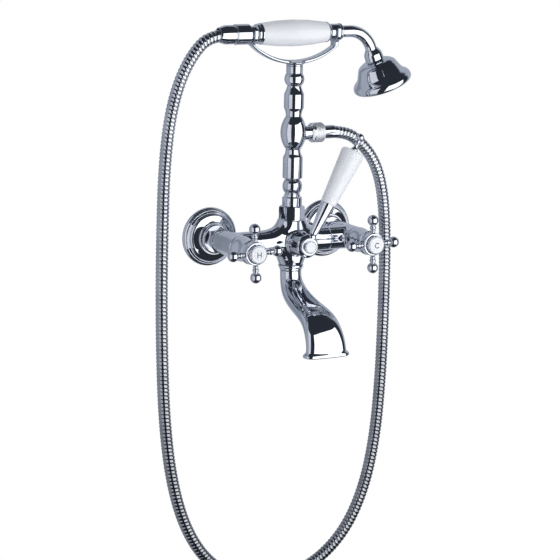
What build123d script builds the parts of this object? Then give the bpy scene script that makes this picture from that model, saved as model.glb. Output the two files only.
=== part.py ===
from build123d import *
import math
import os

# Bath mixer for a wall, with a diverter lever, a swivelling spout and a hand shower on a cradle.
# Millimetres. X runs along the wall to the right, +Y goes into the wall, +Z is up.
# The origin is on the wall's face, midway between the two water inlets.

# Driving sizes
INLET_SPACING = 150.0
AXIS_OUT = 60.0
WALL_THREAD_R = 10.48
WALL_THREAD_LENGTH = 20.0
UNION_THREAD_R = 13.2
FLANGE_R = 33.8
BARREL_R = 13.7
BARREL_BACK = 28.8
BARREL_FRONT = 79.5
BODY_R = 15.7
BODY_TOP = 24.5
BODY_BOTTOM = -26.5
HANDLE_ARM_OUT = 115.6
HANDLE_ARM_REACH = 27.3
HANDLE_BALL_R = 6.3
LEFT_HANDLE_TURN = 2.5
RIGHT_HANDLE_TURN = 1.2
LEVER_OUT = 98.0
LEVER_LEAN = 28.6
LEVER_BALL_REACH = 136.3
OUTLET_HEIGHT = 122.5
HANDSET_HEIGHT = 235.9
COLUMN_R = 11.3
FORK_LEFT = -54.5
FORK_RIGHT = 50.6
FORK_BORE_R = 9.3
FORK_WALL = 3.0
FORK_TIP = 5.0
FORK_THICKNESS = 4.4
CRADLE_DEPTH = 12.0
FORK_FOOT_FLOOR = 220.4
FORK_FOOT_TOP = 225.4
NECK_R = 9.0
GOOSENECK_R = 6.65
GOOSENECK_BORE_R = 5.2
GOOSENECK_BEND_R = 30.0
GOOSENECK_BEND_START = 70.2
GOOSENECK_TURN = 67.5
GOOSENECK_DROP = 8.95
SPOUT_WALL = 2.3
SPOUT_SOCKET_R = 9.8

# Hose: a ribbed metal tube. Its route lies in the plane of the column, from outlet to handset.
HOSE_R = 7.0
HOSE_GROOVE_R = 6.35
HOSE_BORE_R = 5.0
HOSE_RIBS = 196
HOSE_ROUTE = [
    (41.0, 122.5), (67.0, 122.5), (89.5, 107.5), (107.5, 85.5), (118.5, 54.0), (123.5, 12.0),
    (125.0, -38.0), (124.8, -104.0), (123.0, -178.0), (117.5, -246.0), (105.0, -304.0),
    (82.0, -352.0), (47.0, -385.0), (5.0, -401.0), (-38.0, -401.0), (-79.0, -386.0),
    (-111.0, -357.0), (-134.0, -315.0), (-149.0, -261.0), (-157.5, -195.0), (-161.0, -122.0),
    (-162.3, -50.0), (-162.0, 22.0), (-160.3, 90.0), (-154.5, 145.0), (-143.5, 185.5),
    (-127.0, 216.0), (-106.0, 235.9), (-80.5, 235.9),
]

os.makedirs("parts", exist_ok=True)


def save(name, *solids):
    """Writes one node from one solid, or from several separate solids."""
    shape = solids[0] if len(solids) == 1 else Compound(children=list(solids))
    shape.label = name
    export_step(shape, f"parts/{name}.step")


def turned(frame, *outline):
    """A solid turned about the frame's z axis. The outline is a closed run of (radius, height)
    corners. A corner with a third entry is the middle of an arc from the one before to the next."""
    corners = list(outline) + [outline[0]]
    edges = []
    i = 0
    while i < len(corners) - 1:
        here, after = corners[i], corners[i + 1]
        if len(after) == 3:
            edges.append(ThreePointArc(here[:2], after[:2], corners[i + 2][:2]))
            i += 2
        else:
            edges.append(Line(here[:2], after))
            i += 1
    return frame * revolve(Plane.XZ * make_face(edges), Axis.Z)


def dome(radius, edge, top):
    """The middle of a spherical dome's arc, from its edge up to its top on the axis."""
    rise = top - edge
    ball = (radius**2 + rise**2) / (2 * rise)
    half = math.asin(radius / ball) / 2
    return (ball * math.sin(half), top - ball * (1 - math.cos(half)), "arc")


def tube(frame, outer, bore, start, end):
    """A plain ring or bush about the frame's z axis, from start to end."""
    return turned(frame, (bore, start), (outer, start), (outer, end), (bore, end))


def rod(frame, radius, start, end):
    """A plain round bar along the frame's z axis, from start to end."""
    return turned(frame, (0, start), (radius, start), (radius, end), (0, end))


def outward(x, out=0.0):
    """A frame at x on the wall, whose z axis points out of the wall and whose y axis is up."""
    return Plane(origin=(x, -out, 0), x_dir=(1, 0, 0), z_dir=(0, -1, 0))


def along_x(height, x=0.0):
    """A frame on the column's plane at this height, whose z axis points to the right."""
    return Plane(origin=(x, -AXIS_OUT, height), x_dir=(0, 1, 0), z_dir=(1, 0, 0))


COLUMN = Plane(origin=(0, -AXIS_OUT, 0), x_dir=(1, 0, 0), z_dir=(0, 0, 1))
DIVERTER = outward(0)
LEVER = Plane(
    origin=(0, -LEVER_OUT, 0),
    x_dir=(0, -1, 0),
    z_dir=(math.sin(math.radians(LEVER_LEAN)), 0, math.cos(math.radians(LEVER_LEAN))),
)
HANDSET = along_x(HANDSET_HEIGHT)
OUTLET = along_x(OUTLET_HEIGHT)


def hexagon(frame, corner_r, turn, start, end, chamfer=1.0):
    """A hexagonal nut blank, its corners turned down at both ends."""
    blank = frame * (Pos(0, 0, start) * extrude(Rot(0, 0, turn) * RegularPolygon(corner_r, 6), end - start))
    inner = corner_r - 1.6 * chamfer
    cone = turned(
        frame, (0, start), (inner, start), (corner_r + 0.01, start + chamfer),
        (corner_r + 0.01, end - chamfer), (inner, end), (0, end),
    )
    return blank & cone


# Wall flanges, unions and their nuts

def wall_flange(frame):
    """The escutcheon: two rounded steps, a shallow cone and a small collar round the union nut."""
    return turned(
        frame, (FLANGE_R - 2, 0), (FLANGE_R, 0), (FLANGE_R, 1.4), (32.9, 4.2, "arc"), (30.7, 6.2),
        (30.3, 5.9), (29.9, 6.3), (28.5, 8.0), (28.2, 7.8), (27.9, 8.2), (26.4, 10.3, "arc"), (24.3, 11.2),
        (19.0, 13.55), (19.2, 14.7, "arc"), (18.3, 16.0), (17.4, 16.0), (17.4, 11.6), (24.0, 9.0),
        (FLANGE_R - 4, 3.2), (FLANGE_R - 2, 2.0),
    )


def wall_union(frame):
    """The brass tail that screws into the wall: an inlet thread behind, a union thread in front."""
    return turned(
        frame, (7.5, -WALL_THREAD_LENGTH), (9.6, -WALL_THREAD_LENGTH),
        (WALL_THREAD_R, 1 - WALL_THREAD_LENGTH), (WALL_THREAD_R, 0.5), (12.4, 0.5), (12.4, 4.5),
        (UNION_THREAD_R, 5.2), (UNION_THREAD_R, 14.7), (12.6, 15.5), (7.5, 15.5),
    )


def union_nut(frame, turn):
    """The loose nut: a round skirt on the union's thread, and a hexagon that bears on the tail."""
    skirt = turned(
        frame, (UNION_THREAD_R + 0.05, 11.0), (16.6, 11.0), (16.9, 11.6), (16.9, 18.4),
        (16.5, 20.0, "arc"), (15.2, 20.8), (10.5, 20.8), (10.5, 19.05), (UNION_THREAD_R + 0.05, 19.05),
    )
    flats = hexagon(frame, 14.8, turn, 20.4, 28.2)
    return skirt + (flats - rod(frame, 10.5, 20.0, 29.0))


def barrel_solid(frame):
    """One valve barrel of the body, with the tail that the union nut pulls on."""
    return turned(
        frame, (0, 17.1), (12.9, 17.1), (12.9, 19.0), (10.3, 19.0), (10.3, BARREL_BACK),
        (12.0, BARREL_BACK), (13.3, 30.4, "arc"), (BARREL_R, 34.0), (BARREL_R, BARREL_FRONT - 0.6),
        (BARREL_R - 0.6, BARREL_FRONT), (0, BARREL_FRONT),
    )


def barrel_bore(frame):
    """The inlet bore, the seat and the chamber for the valve's headpart."""
    return turned(
        frame, (0, 16.0), (7.5, 16.0), (7.5, 44.0), (6.0, 46.0), (6.0, 52.0), (10.5, 52.0),
        (10.5, BARREL_FRONT + 1), (0, BARREL_FRONT + 1),
    )


SHOULDER_SWEEP_R = 51.0
SHOULDER_FOOT = 40.0
SHOULDER_STATIONS = [40.0, 34.0, 28.0, 22.0, 17.0, 12.0]


def shoulder(side):
    """The concave sweep from the bridge up to the column nut, on one side of the centre."""
    sections = []
    for x in SHOULDER_STATIONS:
        reach = SHOULDER_FOOT - x
        top = BARREL_R + SHOULDER_SWEEP_R - math.sqrt(SHOULDER_SWEEP_R**2 - reach**2)
        place = Plane(
            origin=(side * x, -AXIS_OUT, (top - BARREL_R) / 2), x_dir=(0, 1, 0), z_dir=(1, 0, 0)
        )
        sections.append(place * Ellipse(BARREL_R, (top + BARREL_R) / 2))
    return loft(sections)


def mixer_body():
    """The cast body: two barrels, the bridge, the centre with its shoulders, and all waterways."""
    left, right = outward(-INLET_SPACING / 2), outward(INLET_SPACING / 2)
    bridge = rod(along_x(0), BARREL_R, -INLET_SPACING / 2, INLET_SPACING / 2)
    centre = turned(
        COLUMN, (0, BODY_BOTTOM - 3.5), (12.5, BODY_BOTTOM - 3.5), (12.5, BODY_BOTTOM),
        (13.9, BODY_BOTTOM), (15.3, -21.5, "arc"), (BODY_R, -14.0), (BODY_R, 6.0),
        (14.6, BODY_TOP), (10.0, BODY_TOP), (10.0, 33.0), (0, 33.0),
    )
    boss = turned(DIVERTER, (0, 55.0), (14.6, 55.0), (14.6, 74.4), (13.7, 79.0), (0, 79.0))
    body = bridge + centre + boss + barrel_solid(left) + barrel_solid(right)
    body = body + shoulder(-1) + shoulder(1)
    body = body - tube(COLUMN, 60.0, 10.0, BODY_TOP, BODY_TOP + 10.0)
    body = body - barrel_bore(left) - barrel_bore(right)
    body = body - rod(along_x(0), 6.5, -INLET_SPACING / 2, INLET_SPACING / 2)
    body = body - turned(
        COLUMN, (0, BODY_BOTTOM - 4), (10.0, BODY_BOTTOM - 4), (10.0, -8.0), (7.5, -7.0), (7.5, 34.0),
        (0, 34.0),
    )
    return body - rod(DIVERTER, 10.5, 46.0, 80.0)


# Valve inside a barrel: seal, two ceramic discs, headpart, spindle, bonnet

def seat_seal(frame):
    return tube(frame, 9.6, 6.0, 52.05, 54.0)


def fixed_disc(frame):
    """The ceramic disc that stands still, with two opposite sector ports."""
    disc = rod(frame, 9.0, 54.05, 57.5)
    for turn in (0, 180):
        port = Rot(0, 0, turn) * Pos(4.6, 0, 0) * Box(5.2, 6.4, 10)
        disc = disc - frame * (Pos(0, 0, 56) * port)
    return disc


def moving_disc(frame):
    """The ceramic disc that the spindle turns. Its ports are a quarter turn off: closed at rest."""
    disc = rod(frame, 8.6, 57.55, 60.6)
    for turn in (90, 270):
        port = Rot(0, 0, turn) * Pos(4.6, 0, 0) * Box(5.0, 6.2, 10)
        disc = disc - frame * (Pos(0, 0, 59) * port)
    return disc


def headpart(frame):
    """The brass valve body: a sleeve round the discs, a flange on the barrel and a threaded neck."""
    shell = turned(
        frame, (9.3, 54.2), (10.4, 54.2), (10.4, BARREL_FRONT + 0.1), (12.4, BARREL_FRONT + 0.1),
        (12.4, 83.4), (8.5, 83.4), (8.5, 93.0), (4.6, 93.0), (4.6, 67.0), (9.3, 67.0),
    )
    for turn in (0, 90):
        window = Rot(0, 0, turn) * Box(30, 8, 4.6)
        shell = shell - frame * (Pos(0, 0, 63.8) * window)
    return shell


def bonnet(frame):
    """The bell-shaped chrome shroud that screws down over the headpart."""
    return turned(
        frame, (12.6, 79.9), (13.7, 79.9), (14.3, 83.6, "arc"), (14.2, 87.0), (13.6, 90.0),
        (12.6, 94.5, "arc"), (12.3, 101.5), (10.6, 101.5), (10.6, 88.0), (8.6, 88.0), (8.6, 84.6),
        (12.6, 84.6),
    )


def spindle(frame):
    """The valve spindle: a driving flange on the moving disc, a stem and a threaded screw hole."""
    return turned(
        frame, (0, 60.65), (8.4, 60.65), (8.4, 62.6), (4.54, 62.6), (4.54, 111.8), (1.95, 111.8),
        (1.95, 100.0), (0, 100.0),
    )


def handle_arm(frame, turn):
    """One arm of the cross: a thin neck with two beads and a ball."""
    angle = math.radians(turn)
    arm_frame = Plane(
        origin=frame.from_local_coords((0, 0, HANDLE_ARM_OUT)),
        x_dir=frame.z_dir,
        z_dir=frame.x_dir * math.cos(angle) + frame.y_dir * math.sin(angle),
    )
    neck_end = HANDLE_ARM_REACH - math.sqrt(HANDLE_BALL_R**2 - 2.6**2)
    return turned(
        arm_frame, (0, 10.5), (2.9, 10.5), (2.2, 14.2), (3.2, 15.6, "arc"), (2.3, 17.0),
        (3.7, 18.9, "arc"), (2.6, 20.8), (2.6, neck_end),
        (HANDLE_BALL_R, HANDLE_ARM_REACH, "arc"), (0, HANDLE_ARM_REACH + HANDLE_BALL_R),
    )


def cross_handle(frame, turn):
    """The cross handle: a drum hub with a cup for the button, and four ball-ended arms."""
    hub = turned(
        frame, (4.6, 102.2), (12.3, 102.2), (13.6, 104.2, "arc"), (13.9, 106.6), (13.7, 107.6),
        (12.6, 110.2, "arc"), (12.4, 113.6), (12.5, 116.0), (13.0, 117.0), (13.0, 118.2),
        (12.4, 118.8), (11.0, 119.0), (10.9, 122.4), (10.5, 124.0, "arc"), (9.6, 124.5),
        (9.15, 124.2), (9.15, 120.8), (4.2, 120.8), (4.2, 116.2), (2.2, 116.2), (2.2, 112.0),
        (4.6, 112.0),
    )
    for quarter in range(4):
        hub = hub + handle_arm(frame, turn + 90 * quarter)
    return hub


def handle_screw(frame, start):
    """A pan-head screw whose head rests at start."""
    return turned(
        frame, (0, start - 11.0), (1.9, start - 11.0), (1.9, start + 0.05), (3.6, start + 0.05),
        (3.6, start + 1.6), (2.8, start + 2.4), (0, start + 2.4),
    )


def index_button(frame):
    """The domed porcelain button in the handle's cup."""
    return turned(
        frame, (0, 120.85), (9.05, 120.85), (9.05, 124.1), (8.8, 125.0, "arc"), (8.2, 125.3),
        dome(8.2, 125.3, 125.9), (0, 125.9),
    )


left_inlet, right_inlet = outward(-INLET_SPACING / 2), outward(INLET_SPACING / 2)

save("mixer_body", mixer_body())
save("union_washers", tube(left_inlet, 12.5, 7.5, 15.55, 17.05), tube(right_inlet, 12.5, 7.5, 15.55, 17.05))
save("seat_seals", seat_seal(left_inlet), seat_seal(right_inlet))
save("fixed_discs", fixed_disc(left_inlet), fixed_disc(right_inlet))
for label, frame, nut_turn, handle_turn in (
    ("hot", left_inlet, 15.0, LEFT_HANDLE_TURN),
    ("cold", right_inlet, 8.0, RIGHT_HANDLE_TURN),
):
    save(f"{label}_wall_flange", wall_flange(frame))
    save(f"{label}_wall_union", wall_union(frame))
    save(f"{label}_union_nut", union_nut(frame, nut_turn))
    save(f"{label}_headpart", headpart(frame))
    save(f"{label}_bonnet", bonnet(frame))
    save(f"{label}_moving_disc", moving_disc(frame))
    save(f"{label}_spindle", spindle(frame))
    save(f"{label}_cross_handle", cross_handle(frame, handle_turn))
    save(f"{label}_handle_screw", handle_screw(frame, 116.2))
    save(f"{label}_index_button", index_button(frame))


# Diverter: gland and rotor in the body, and the lever with its porcelain grip

def diverter_gland():
    """The chrome collar that screws into the body and holds the diverter's spindle."""
    return turned(
        DIVERTER, (4.6, 62.0), (10.4, 62.0), (10.4, 79.1), (13.3, 79.1), (13.6, 79.6),
        (13.6, 83.8), (13.2, 84.4), (5.7, 84.4), (5.7, 78.0), (4.6, 78.0),
    )


def diverter_rotor():
    """The rotor that sends the water down to the spout or up to the hand shower."""
    rotor = rod(DIVERTER, 10.42, 47.0, 61.5)
    port = Rot(0, 0, 45) * Pos(6.0, 6.0, 0) * Box(12, 12, 9)
    rotor = rotor - DIVERTER * (Pos(0, 0, 54) * port)
    return rotor - rod(DIVERTER, 3.0, 57.0, 62.0)


def lever_hub():
    """The turning hub: a drum, a cone and a cup for the button, with the lever's socket on top."""
    hub = turned(
        DIVERTER, (4.6, 84.9), (13.3, 84.9), (13.6, 85.4), (13.6, 98.4), (13.0, 99.8, "arc"),
        (12.2, 100.6), (10.3, 102.0), (10.2, 103.2), (9.7, 104.0), (7.5, 104.0), (7.4, 106.0),
        (7.1, 107.0, "arc"), (6.6, 107.2), (6.25, 107.0), (6.25, 103.0), (4.2, 103.0), (4.2, 100.4),
        (2.2, 100.4), (2.2, 95.0), (4.6, 95.0),
    )
    knuckle = turned(LEVER, (0, 9.0), (4.6, 9.0), (5.3, 11.6, "arc"), (4.4, 14.2), (0, 14.2))
    hollow = turned(
        DIVERTER, (0, 84.0), (4.6, 84.0), (4.6, 95.0), (2.2, 95.0), (2.2, 100.4), (4.2, 100.4),
        (4.2, 103.0), (6.25, 103.0), (6.25, 107.0), (0, 107.0),
    )
    return hub + (knuckle - hollow) - rod(LEVER, 3.2, 9.4, 15.0)


def lever_stem():
    """The tapered chrome stem, with a thin rod above it that runs through the porcelain."""
    return turned(
        LEVER, (0, 9.5), (3.1, 9.5), (3.1, 14.3), (4.2, 14.3), (4.6, 15.4), (6.5, 35.0), (8.4, 51.6),
        (8.4, 52.8), (2.5, 52.8), (2.5, 118.0), (0, 118.0),
    )


def lever_grip():
    """The porcelain cone on the lever, wider at the top."""
    return turned(
        LEVER, (2.6, 52.9), (8.4, 52.9), (8.9, 53.6), (13.4, 114.5), (12.7, 118.0, "arc"),
        (9.8, 119.6), (3.6, 120.2), (2.6, 120.2),
    )


def lever_finial():
    """The chrome finial that clamps the porcelain: a cup, a waist and a small ball."""
    neck_end = LEVER_BALL_REACH - math.sqrt(4.5**2 - 2.3**2)
    return turned(
        LEVER, (0, 118.1), (2.5, 118.1), (2.5, 120.3), (4.4, 120.3), (4.3, 121.4), (2.7, 124.0, "arc"),
        (2.5, 127.4), (3.3, 128.6, "arc"), (2.4, 129.8), (2.3, neck_end),
        (4.5, LEVER_BALL_REACH, "arc"), (0, LEVER_BALL_REACH + 4.5),
    )


save("diverter_gland", diverter_gland())
save("diverter_seals", tube(DIVERTER, 5.6, 4.6, 78.2, 80.6), tube(DIVERTER, 5.6, 4.6, 81.0, 83.4))
save("diverter_rotor", diverter_rotor())
save("diverter_spindle", turned(
    DIVERTER, (0, 57.1), (2.95, 57.1), (2.95, 61.6), (4.54, 61.6), (4.54, 94.8), (1.95, 94.8),
    (1.95, 86.0), (0, 86.0),
))
save("lever_hub", lever_hub())
save("lever_screw", handle_screw(DIVERTER, 100.4))
save("lever_stem", lever_stem())
save("lever_grip", lever_grip())
save("lever_finial", lever_finial())
save("lever_button", turned(
    DIVERTER, (0, 103.05), (6.15, 103.05), (6.15, 106.9), (6.0, 107.3, "arc"), (5.6, 107.5),
    dome(5.6, 107.5, 107.9), (0, 107.9),
))


# Column: nut, lower stem, outlet with its spigot, upper stem, cradle

def column_nut():
    """The hexagonal nut that clamps the column on the body."""
    blank = hexagon(COLUMN, 14.75, 38.5, 24.8, 40.0, 0.9)
    return blank - turned(
        COLUMN, (0, 24.0), (10.05, 24.0), (10.05, 36.1), (8.2, 36.1), (8.2, 41.0), (0, 41.0)
    )


def column_stem():
    """The lower turned length of the column: collar, ring, ball and a flared cylinder."""
    return turned(
        COLUMN, (5.5, 33.9), (9.9, 33.9), (9.9, 36.0), (8.1, 36.0), (8.1, 40.2), (10.9, 40.2),
        (COLUMN_R, 40.7), (COLUMN_R, 49.9), (10.6, 50.6), (9.1, 51.4), (9.1, 53.6), (8.0, 54.6),
        (11.2, 62.4, "arc"), (7.9, 70.9), (8.2, 71.6), (10.6, 71.9), (COLUMN_R, 72.8),
        (COLUMN_R, 95.4), (10.8, 96.8), (9.0, 100.4, "arc"), (8.5, 104.9), (7.0, 104.9), (7.0, 112.0),
        (5.5, 112.0),
    )


def hose_outlet():
    """The egg-shaped outlet in the column, with the hose spigot on its right."""
    egg = turned(
        COLUMN, (0, 105.1), (8.5, 105.1), (14.7, 123.6, "arc"), (8.9, 142.3), (0, 142.3)
    )
    spigot = turned(
        OUTLET, (0, 8.0), (7.9, 8.0), (7.9, 21.4), (8.3, 21.8), (8.3, 29.0), (0, 29.0)
    )
    waterway = rod(OUTLET, 5.0, 0, 30.0)
    sockets = rod(COLUMN, 7.05, 104.0, 128.0) + rod(COLUMN, 6.05, 134.0, 143.0)
    return egg + spigot - waterway - sockets


def column_top():
    """The upper turned length of the column: flared cylinder, ball and the cradle's stub."""
    return turned(
        COLUMN, (0, 134.1), (6.0, 134.1), (6.0, 142.4), (8.8, 142.4), (9.4, 147.0, "arc"),
        (COLUMN_R, 152.0), (COLUMN_R, 167.4), (9.5, 171.4, "arc"), (7.8, 176.6), (11.3, 184.1, "arc"),
        (9.0, 190.9), (9.4, 191.4), (9.4, 199.0), (6.0, 199.0), (6.0, 203.4), (0, 203.4),
    )


def fork(x):
    """One upright fork of the cradle, open at the top, square to the handset's axis."""
    outer = FORK_BORE_R + FORK_WALL
    ring = Circle(outer) + Pos(-FORK_TIP / 2, 0) * Rectangle(FORK_TIP, 2 * outer)
    notch = Circle(FORK_BORE_R) + Pos(-15, 0) * Rectangle(30, 2 * FORK_BORE_R)
    above = Pos(-FORK_TIP - 10, 0) * Rectangle(20, 60)
    plate = extrude(ring - notch - above, FORK_THICKNESS / 2, both=True)
    upright = Plane(origin=(x, -AXIS_OUT, HANDSET_HEIGHT), x_dir=(0, 0, -1), z_dir=(1, 0, 0))
    return upright * plate


def cradle():
    """The crescent that carries the handset, with a fork at each end. The right fork stands on a foot."""
    face_out = Plane(origin=(0, -AXIS_OUT, 0), x_dir=(1, 0, 0), z_dir=(0, -1, 0))
    outline = make_face([
        ThreePointArc((-55.5, 226.3), (0, 205.6), (51.6, 223.12)),
        Line((51.6, 223.12), (52.7, 220.12)),
        ThreePointArc((52.7, 220.12), (0, 201.0), (-56.6, 223.6)),
        Line((-56.6, 223.6), (-55.5, 226.3)),
    ])
    crescent = extrude(face_out * outline, CRADLE_DEPTH / 2, both=True)
    boss = turned(
        COLUMN, (0, 199.1), (9.4, 199.1), (9.6, 200.6, "arc"), (11.4, 202.2), (11.0, 203.6), (0, 203.6)
    )
    foot = Pos(FORK_RIGHT, -AXIS_OUT, (FORK_FOOT_FLOOR + FORK_FOOT_TOP) / 2) * Box(
        FORK_THICKNESS, CRADLE_DEPTH, FORK_FOOT_TOP - FORK_FOOT_FLOOR
    )
    whole = crescent + boss + foot + fork(FORK_LEFT) + fork(FORK_RIGHT)
    notches = [
        rod(HANDSET, FORK_BORE_R, x - 4.0, x + 4.0) for x in (FORK_LEFT, FORK_RIGHT)
    ]
    for notch in notches:
        whole = whole - notch
    return whole - rod(COLUMN, 6.05, 198.0, 203.45)


save("column_nut", column_nut())
save("column_washer", tube(COLUMN, 9.6, 7.5, 33.05, 33.85))
save("column_stem", column_stem())
save("hose_outlet", hose_outlet())
save("column_top", column_top())
save("cradle", cradle())


# Hose: nut and washer at the outlet, the ribbed tube, and the cone that swivels at the handset

def outlet_nut():
    """The round hose nut on the outlet's spigot, bevelled at both ends."""
    return turned(
        OUTLET, (8.35, 21.0), (9.0, 21.0), (11.2, 23.0), (COLUMN_R, 35.6), (10.4, 36.9), (7.8, 36.9),
        (7.8, 32.6), (8.35, 32.6),
    )


def hose_sleeve():
    """The plain sleeve crimped on the hose's end. Its flange is held in the outlet nut."""
    return turned(
        OUTLET, (5.2, 31.0), (8.2, 31.0), (8.2, 32.5), (7.5, 32.5), (7.5, 51.4), (7.1, 51.9),
        (7.1, 40.9), (5.2, 40.9),
    )


def hose_path():
    """The hose's line: straight runs joined by the largest arcs that the runs allow."""
    points = [Vector(x, -AXIS_OUT, z) for x, z in HOSE_ROUTE]
    radii = []
    for before, corner, after in zip(points, points[1:], points[2:]):
        turn = math.radians((corner - before).get_angle(after - corner))
        shorter = min((corner - before).length, (after - corner).length)
        radii.append(0.45 * shorter / math.tan(turn / 2))
    print("hose arc radii, mm:", [round(radius) for radius in radii])
    return FilletPolyline(*points, radius=radii)


def hose_circle(path, distance, radius):
    """A circle square to the path, on a steady x axis so that neighbours never twist."""
    share = distance / path.length
    return Plane(origin=path @ share, x_dir=(0, 1, 0), z_dir=path % share) * Circle(radius)


def ribbed_hose():
    """The wound metal hose: evenly spaced ribs between two plain ends, and its bore."""
    path = hose_path()
    plain_end = 2 * HOSE_R
    pitch = (path.length - 2 * plain_end) / HOSE_RIBS
    sections = [hose_circle(path, 0, HOSE_R)]
    for rib in range(HOSE_RIBS):
        start = plain_end + rib * pitch
        sections.append(hose_circle(path, start, HOSE_GROOVE_R))
        sections.append(hose_circle(path, start + 0.25 * pitch, HOSE_R))
        sections.append(hose_circle(path, start + 0.75 * pitch, HOSE_R))
        sections.append(hose_circle(path, start + 0.99 * pitch, HOSE_GROOVE_R))
    sections.append(hose_circle(path, path.length, HOSE_R))
    skin = loft(sections, ruled=True)
    bore = sweep(hose_circle(path, 0, HOSE_BORE_R), path=path)
    hose = skin - bore
    # half of each pitch is a full crest, and the other half slopes down to the groove and back
    slopes = (HOSE_R ** 2 + HOSE_R * HOSE_GROOVE_R + HOSE_GROOVE_R ** 2) / 3
    mean_section = math.pi * ((HOSE_R ** 2 + slopes) / 2 - HOSE_BORE_R ** 2)
    print("hose length, mm:", round(path.length, 1))
    print("hose volume and mean section times length, mm3:", round(hose.volume),
          round(mean_section * path.length))
    return hose


save("outlet_nut", outlet_nut())
save("outlet_washer", tube(OUTLET, 8.2, 5.2, 29.05, 30.95))
save("hose_sleeve", hose_sleeve())
save("shower_hose", ribbed_hose())
save("hose_cone", turned(
    HANDSET, (7.3, -96.0), (8.2, -96.0), (10.5, -88.6), (10.6, -88.0), (10.6, -79.0), (9.9, -78.6),
    (9.9, -77.6), (10.7, -77.2), (10.7, -76.5), (6.23, -76.5), (6.23, -73.9), (8.1, -73.9),
    (8.1, -70.5), (4.2, -70.5), (4.2, -80.4), (7.3, -80.4),
))


# Hand shower: swivel nut, ferrules, porcelain grip, gooseneck, head

def swivel_nut():
    """The nut on the handset's inlet, in which the hose's cone turns."""
    return turned(
        HANDSET, (8.17, -74.2), (6.3, -74.2), (6.3, -76.3), (10.9, -76.3), (11.4, -75.7),
        (11.4, -59.3), (10.7, -58.5), (6.55, -58.5), (6.55, -70.4), (8.17, -70.4),
    )


def rear_ferrule():
    """The handset's inlet: a threaded stub, the neck that lies in the fork, and the grip's cap."""
    return turned(
        HANDSET, (4.5, -69.0), (6.5, -69.0), (6.5, -58.4), (NECK_R, -58.4), (NECK_R, -51.8),
        (9.7, -51.0), (10.9, -49.7, "arc"), (11.2, -48.0), (10.9, -47.3), (11.9, -45.3), (12.1, -44.1),
        (6.7, -44.1), (6.7, -52.0), (4.5, -52.0),
    )


def front_ferrule():
    """The cap at the grip's other end, the second neck and a bead round the gooseneck."""
    return turned(
        HANDSET, (6.7, 41.5), (8.7, 41.5), (11.1, 39.0), (11.6, 39.3), (11.4, 40.2), (9.4, 42.4),
        (NECK_R, 43.2), (NECK_R, 53.8), (8.0, 54.3), (9.5, 56.6, "arc"), (8.2, 58.4), (7.4, 59.0),
        (6.7, 59.0),
    )


def handset_tube():
    """The metal tube through the grip, which bends down into the gooseneck."""
    turn = math.radians(GOOSENECK_TURN)
    start = (-51.9, -AXIS_OUT, HANDSET_HEIGHT)
    bend_start = Vector(GOOSENECK_BEND_START, -AXIS_OUT, HANDSET_HEIGHT)
    bend_end = gooseneck_end()
    half = Vector(
        GOOSENECK_BEND_START + GOOSENECK_BEND_R * math.sin(turn / 2), -AXIS_OUT,
        HANDSET_HEIGHT - GOOSENECK_BEND_R * (1 - math.cos(turn / 2)),
    )
    path = Line(start, bend_start) + ThreePointArc(bend_start, half, bend_end)
    path = path + Line(bend_end, bend_end + HEAD.z_dir * (GOOSENECK_DROP + 0.4))
    ring = Plane(origin=start, x_dir=(0, 1, 0), z_dir=(1, 0, 0)) * (
        Circle(GOOSENECK_R) - Circle(GOOSENECK_BORE_R)
    )
    flare = tube(HEAD, 7.7, GOOSENECK_BORE_R, 0.4, 2.0)
    return sweep(ring, path=path) + flare


def gooseneck_end():
    """Where the gooseneck's bend ends and the head's axis begins."""
    turn = math.radians(GOOSENECK_TURN)
    return Vector(
        GOOSENECK_BEND_START + GOOSENECK_BEND_R * math.sin(turn), -AXIS_OUT,
        HANDSET_HEIGHT - GOOSENECK_BEND_R * (1 - math.cos(turn)),
    )


HEAD_DIRECTION = Vector(
    math.cos(math.radians(GOOSENECK_TURN)), 0, -math.sin(math.radians(GOOSENECK_TURN))
)
HEAD = Plane(
    origin=gooseneck_end() + HEAD_DIRECTION * GOOSENECK_DROP, x_dir=(0, 1, 0), z_dir=HEAD_DIRECTION
)


def shower_head():
    """The bell: an inlet stub, a domed shoulder, a waist and a rolled rim. It is hollow."""
    return turned(
        HEAD, (4.5, 3.0), (7.8, 3.0), (7.8, 8.8), (11.0, 8.8), (16.6, 10.0, "arc"), (20.6, 12.4),
        (21.7, 13.5, "arc"), (22.5, 14.9), (25.6, 22.2), (27.9, 26.2, "arc"), (31.2, 29.4),
        (33.4, 31.8, "arc"), (34.2, 35.0), (33.6, 37.7, "arc"), (31.6, 39.2), (30.0, 39.2),
        (30.0, 36.6), (28.6, 36.6), (26.0, 29.5), (22.6, 24.0), (20.0, 16.0), (14.0, 12.0),
        (4.5, 12.0),
    )


SPRAY_RINGS = [(0.0, 1), (6.5, 6), (13.0, 12), (19.5, 18), (25.5, 24)]


def spray_plate():
    """The flat plate in the head's mouth, pierced by rings of jets."""
    plate = rod(HEAD, 29.9, 36.65, 38.2)
    jets = [
        Rot(0, 0, 360 * i / count) * Pos(ring_r, 0, 37.4) * Cylinder(0.7, 4)
        for ring_r, count in SPRAY_RINGS
        for i in range(count)
    ]
    return plate - HEAD * Compound(children=jets)


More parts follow.
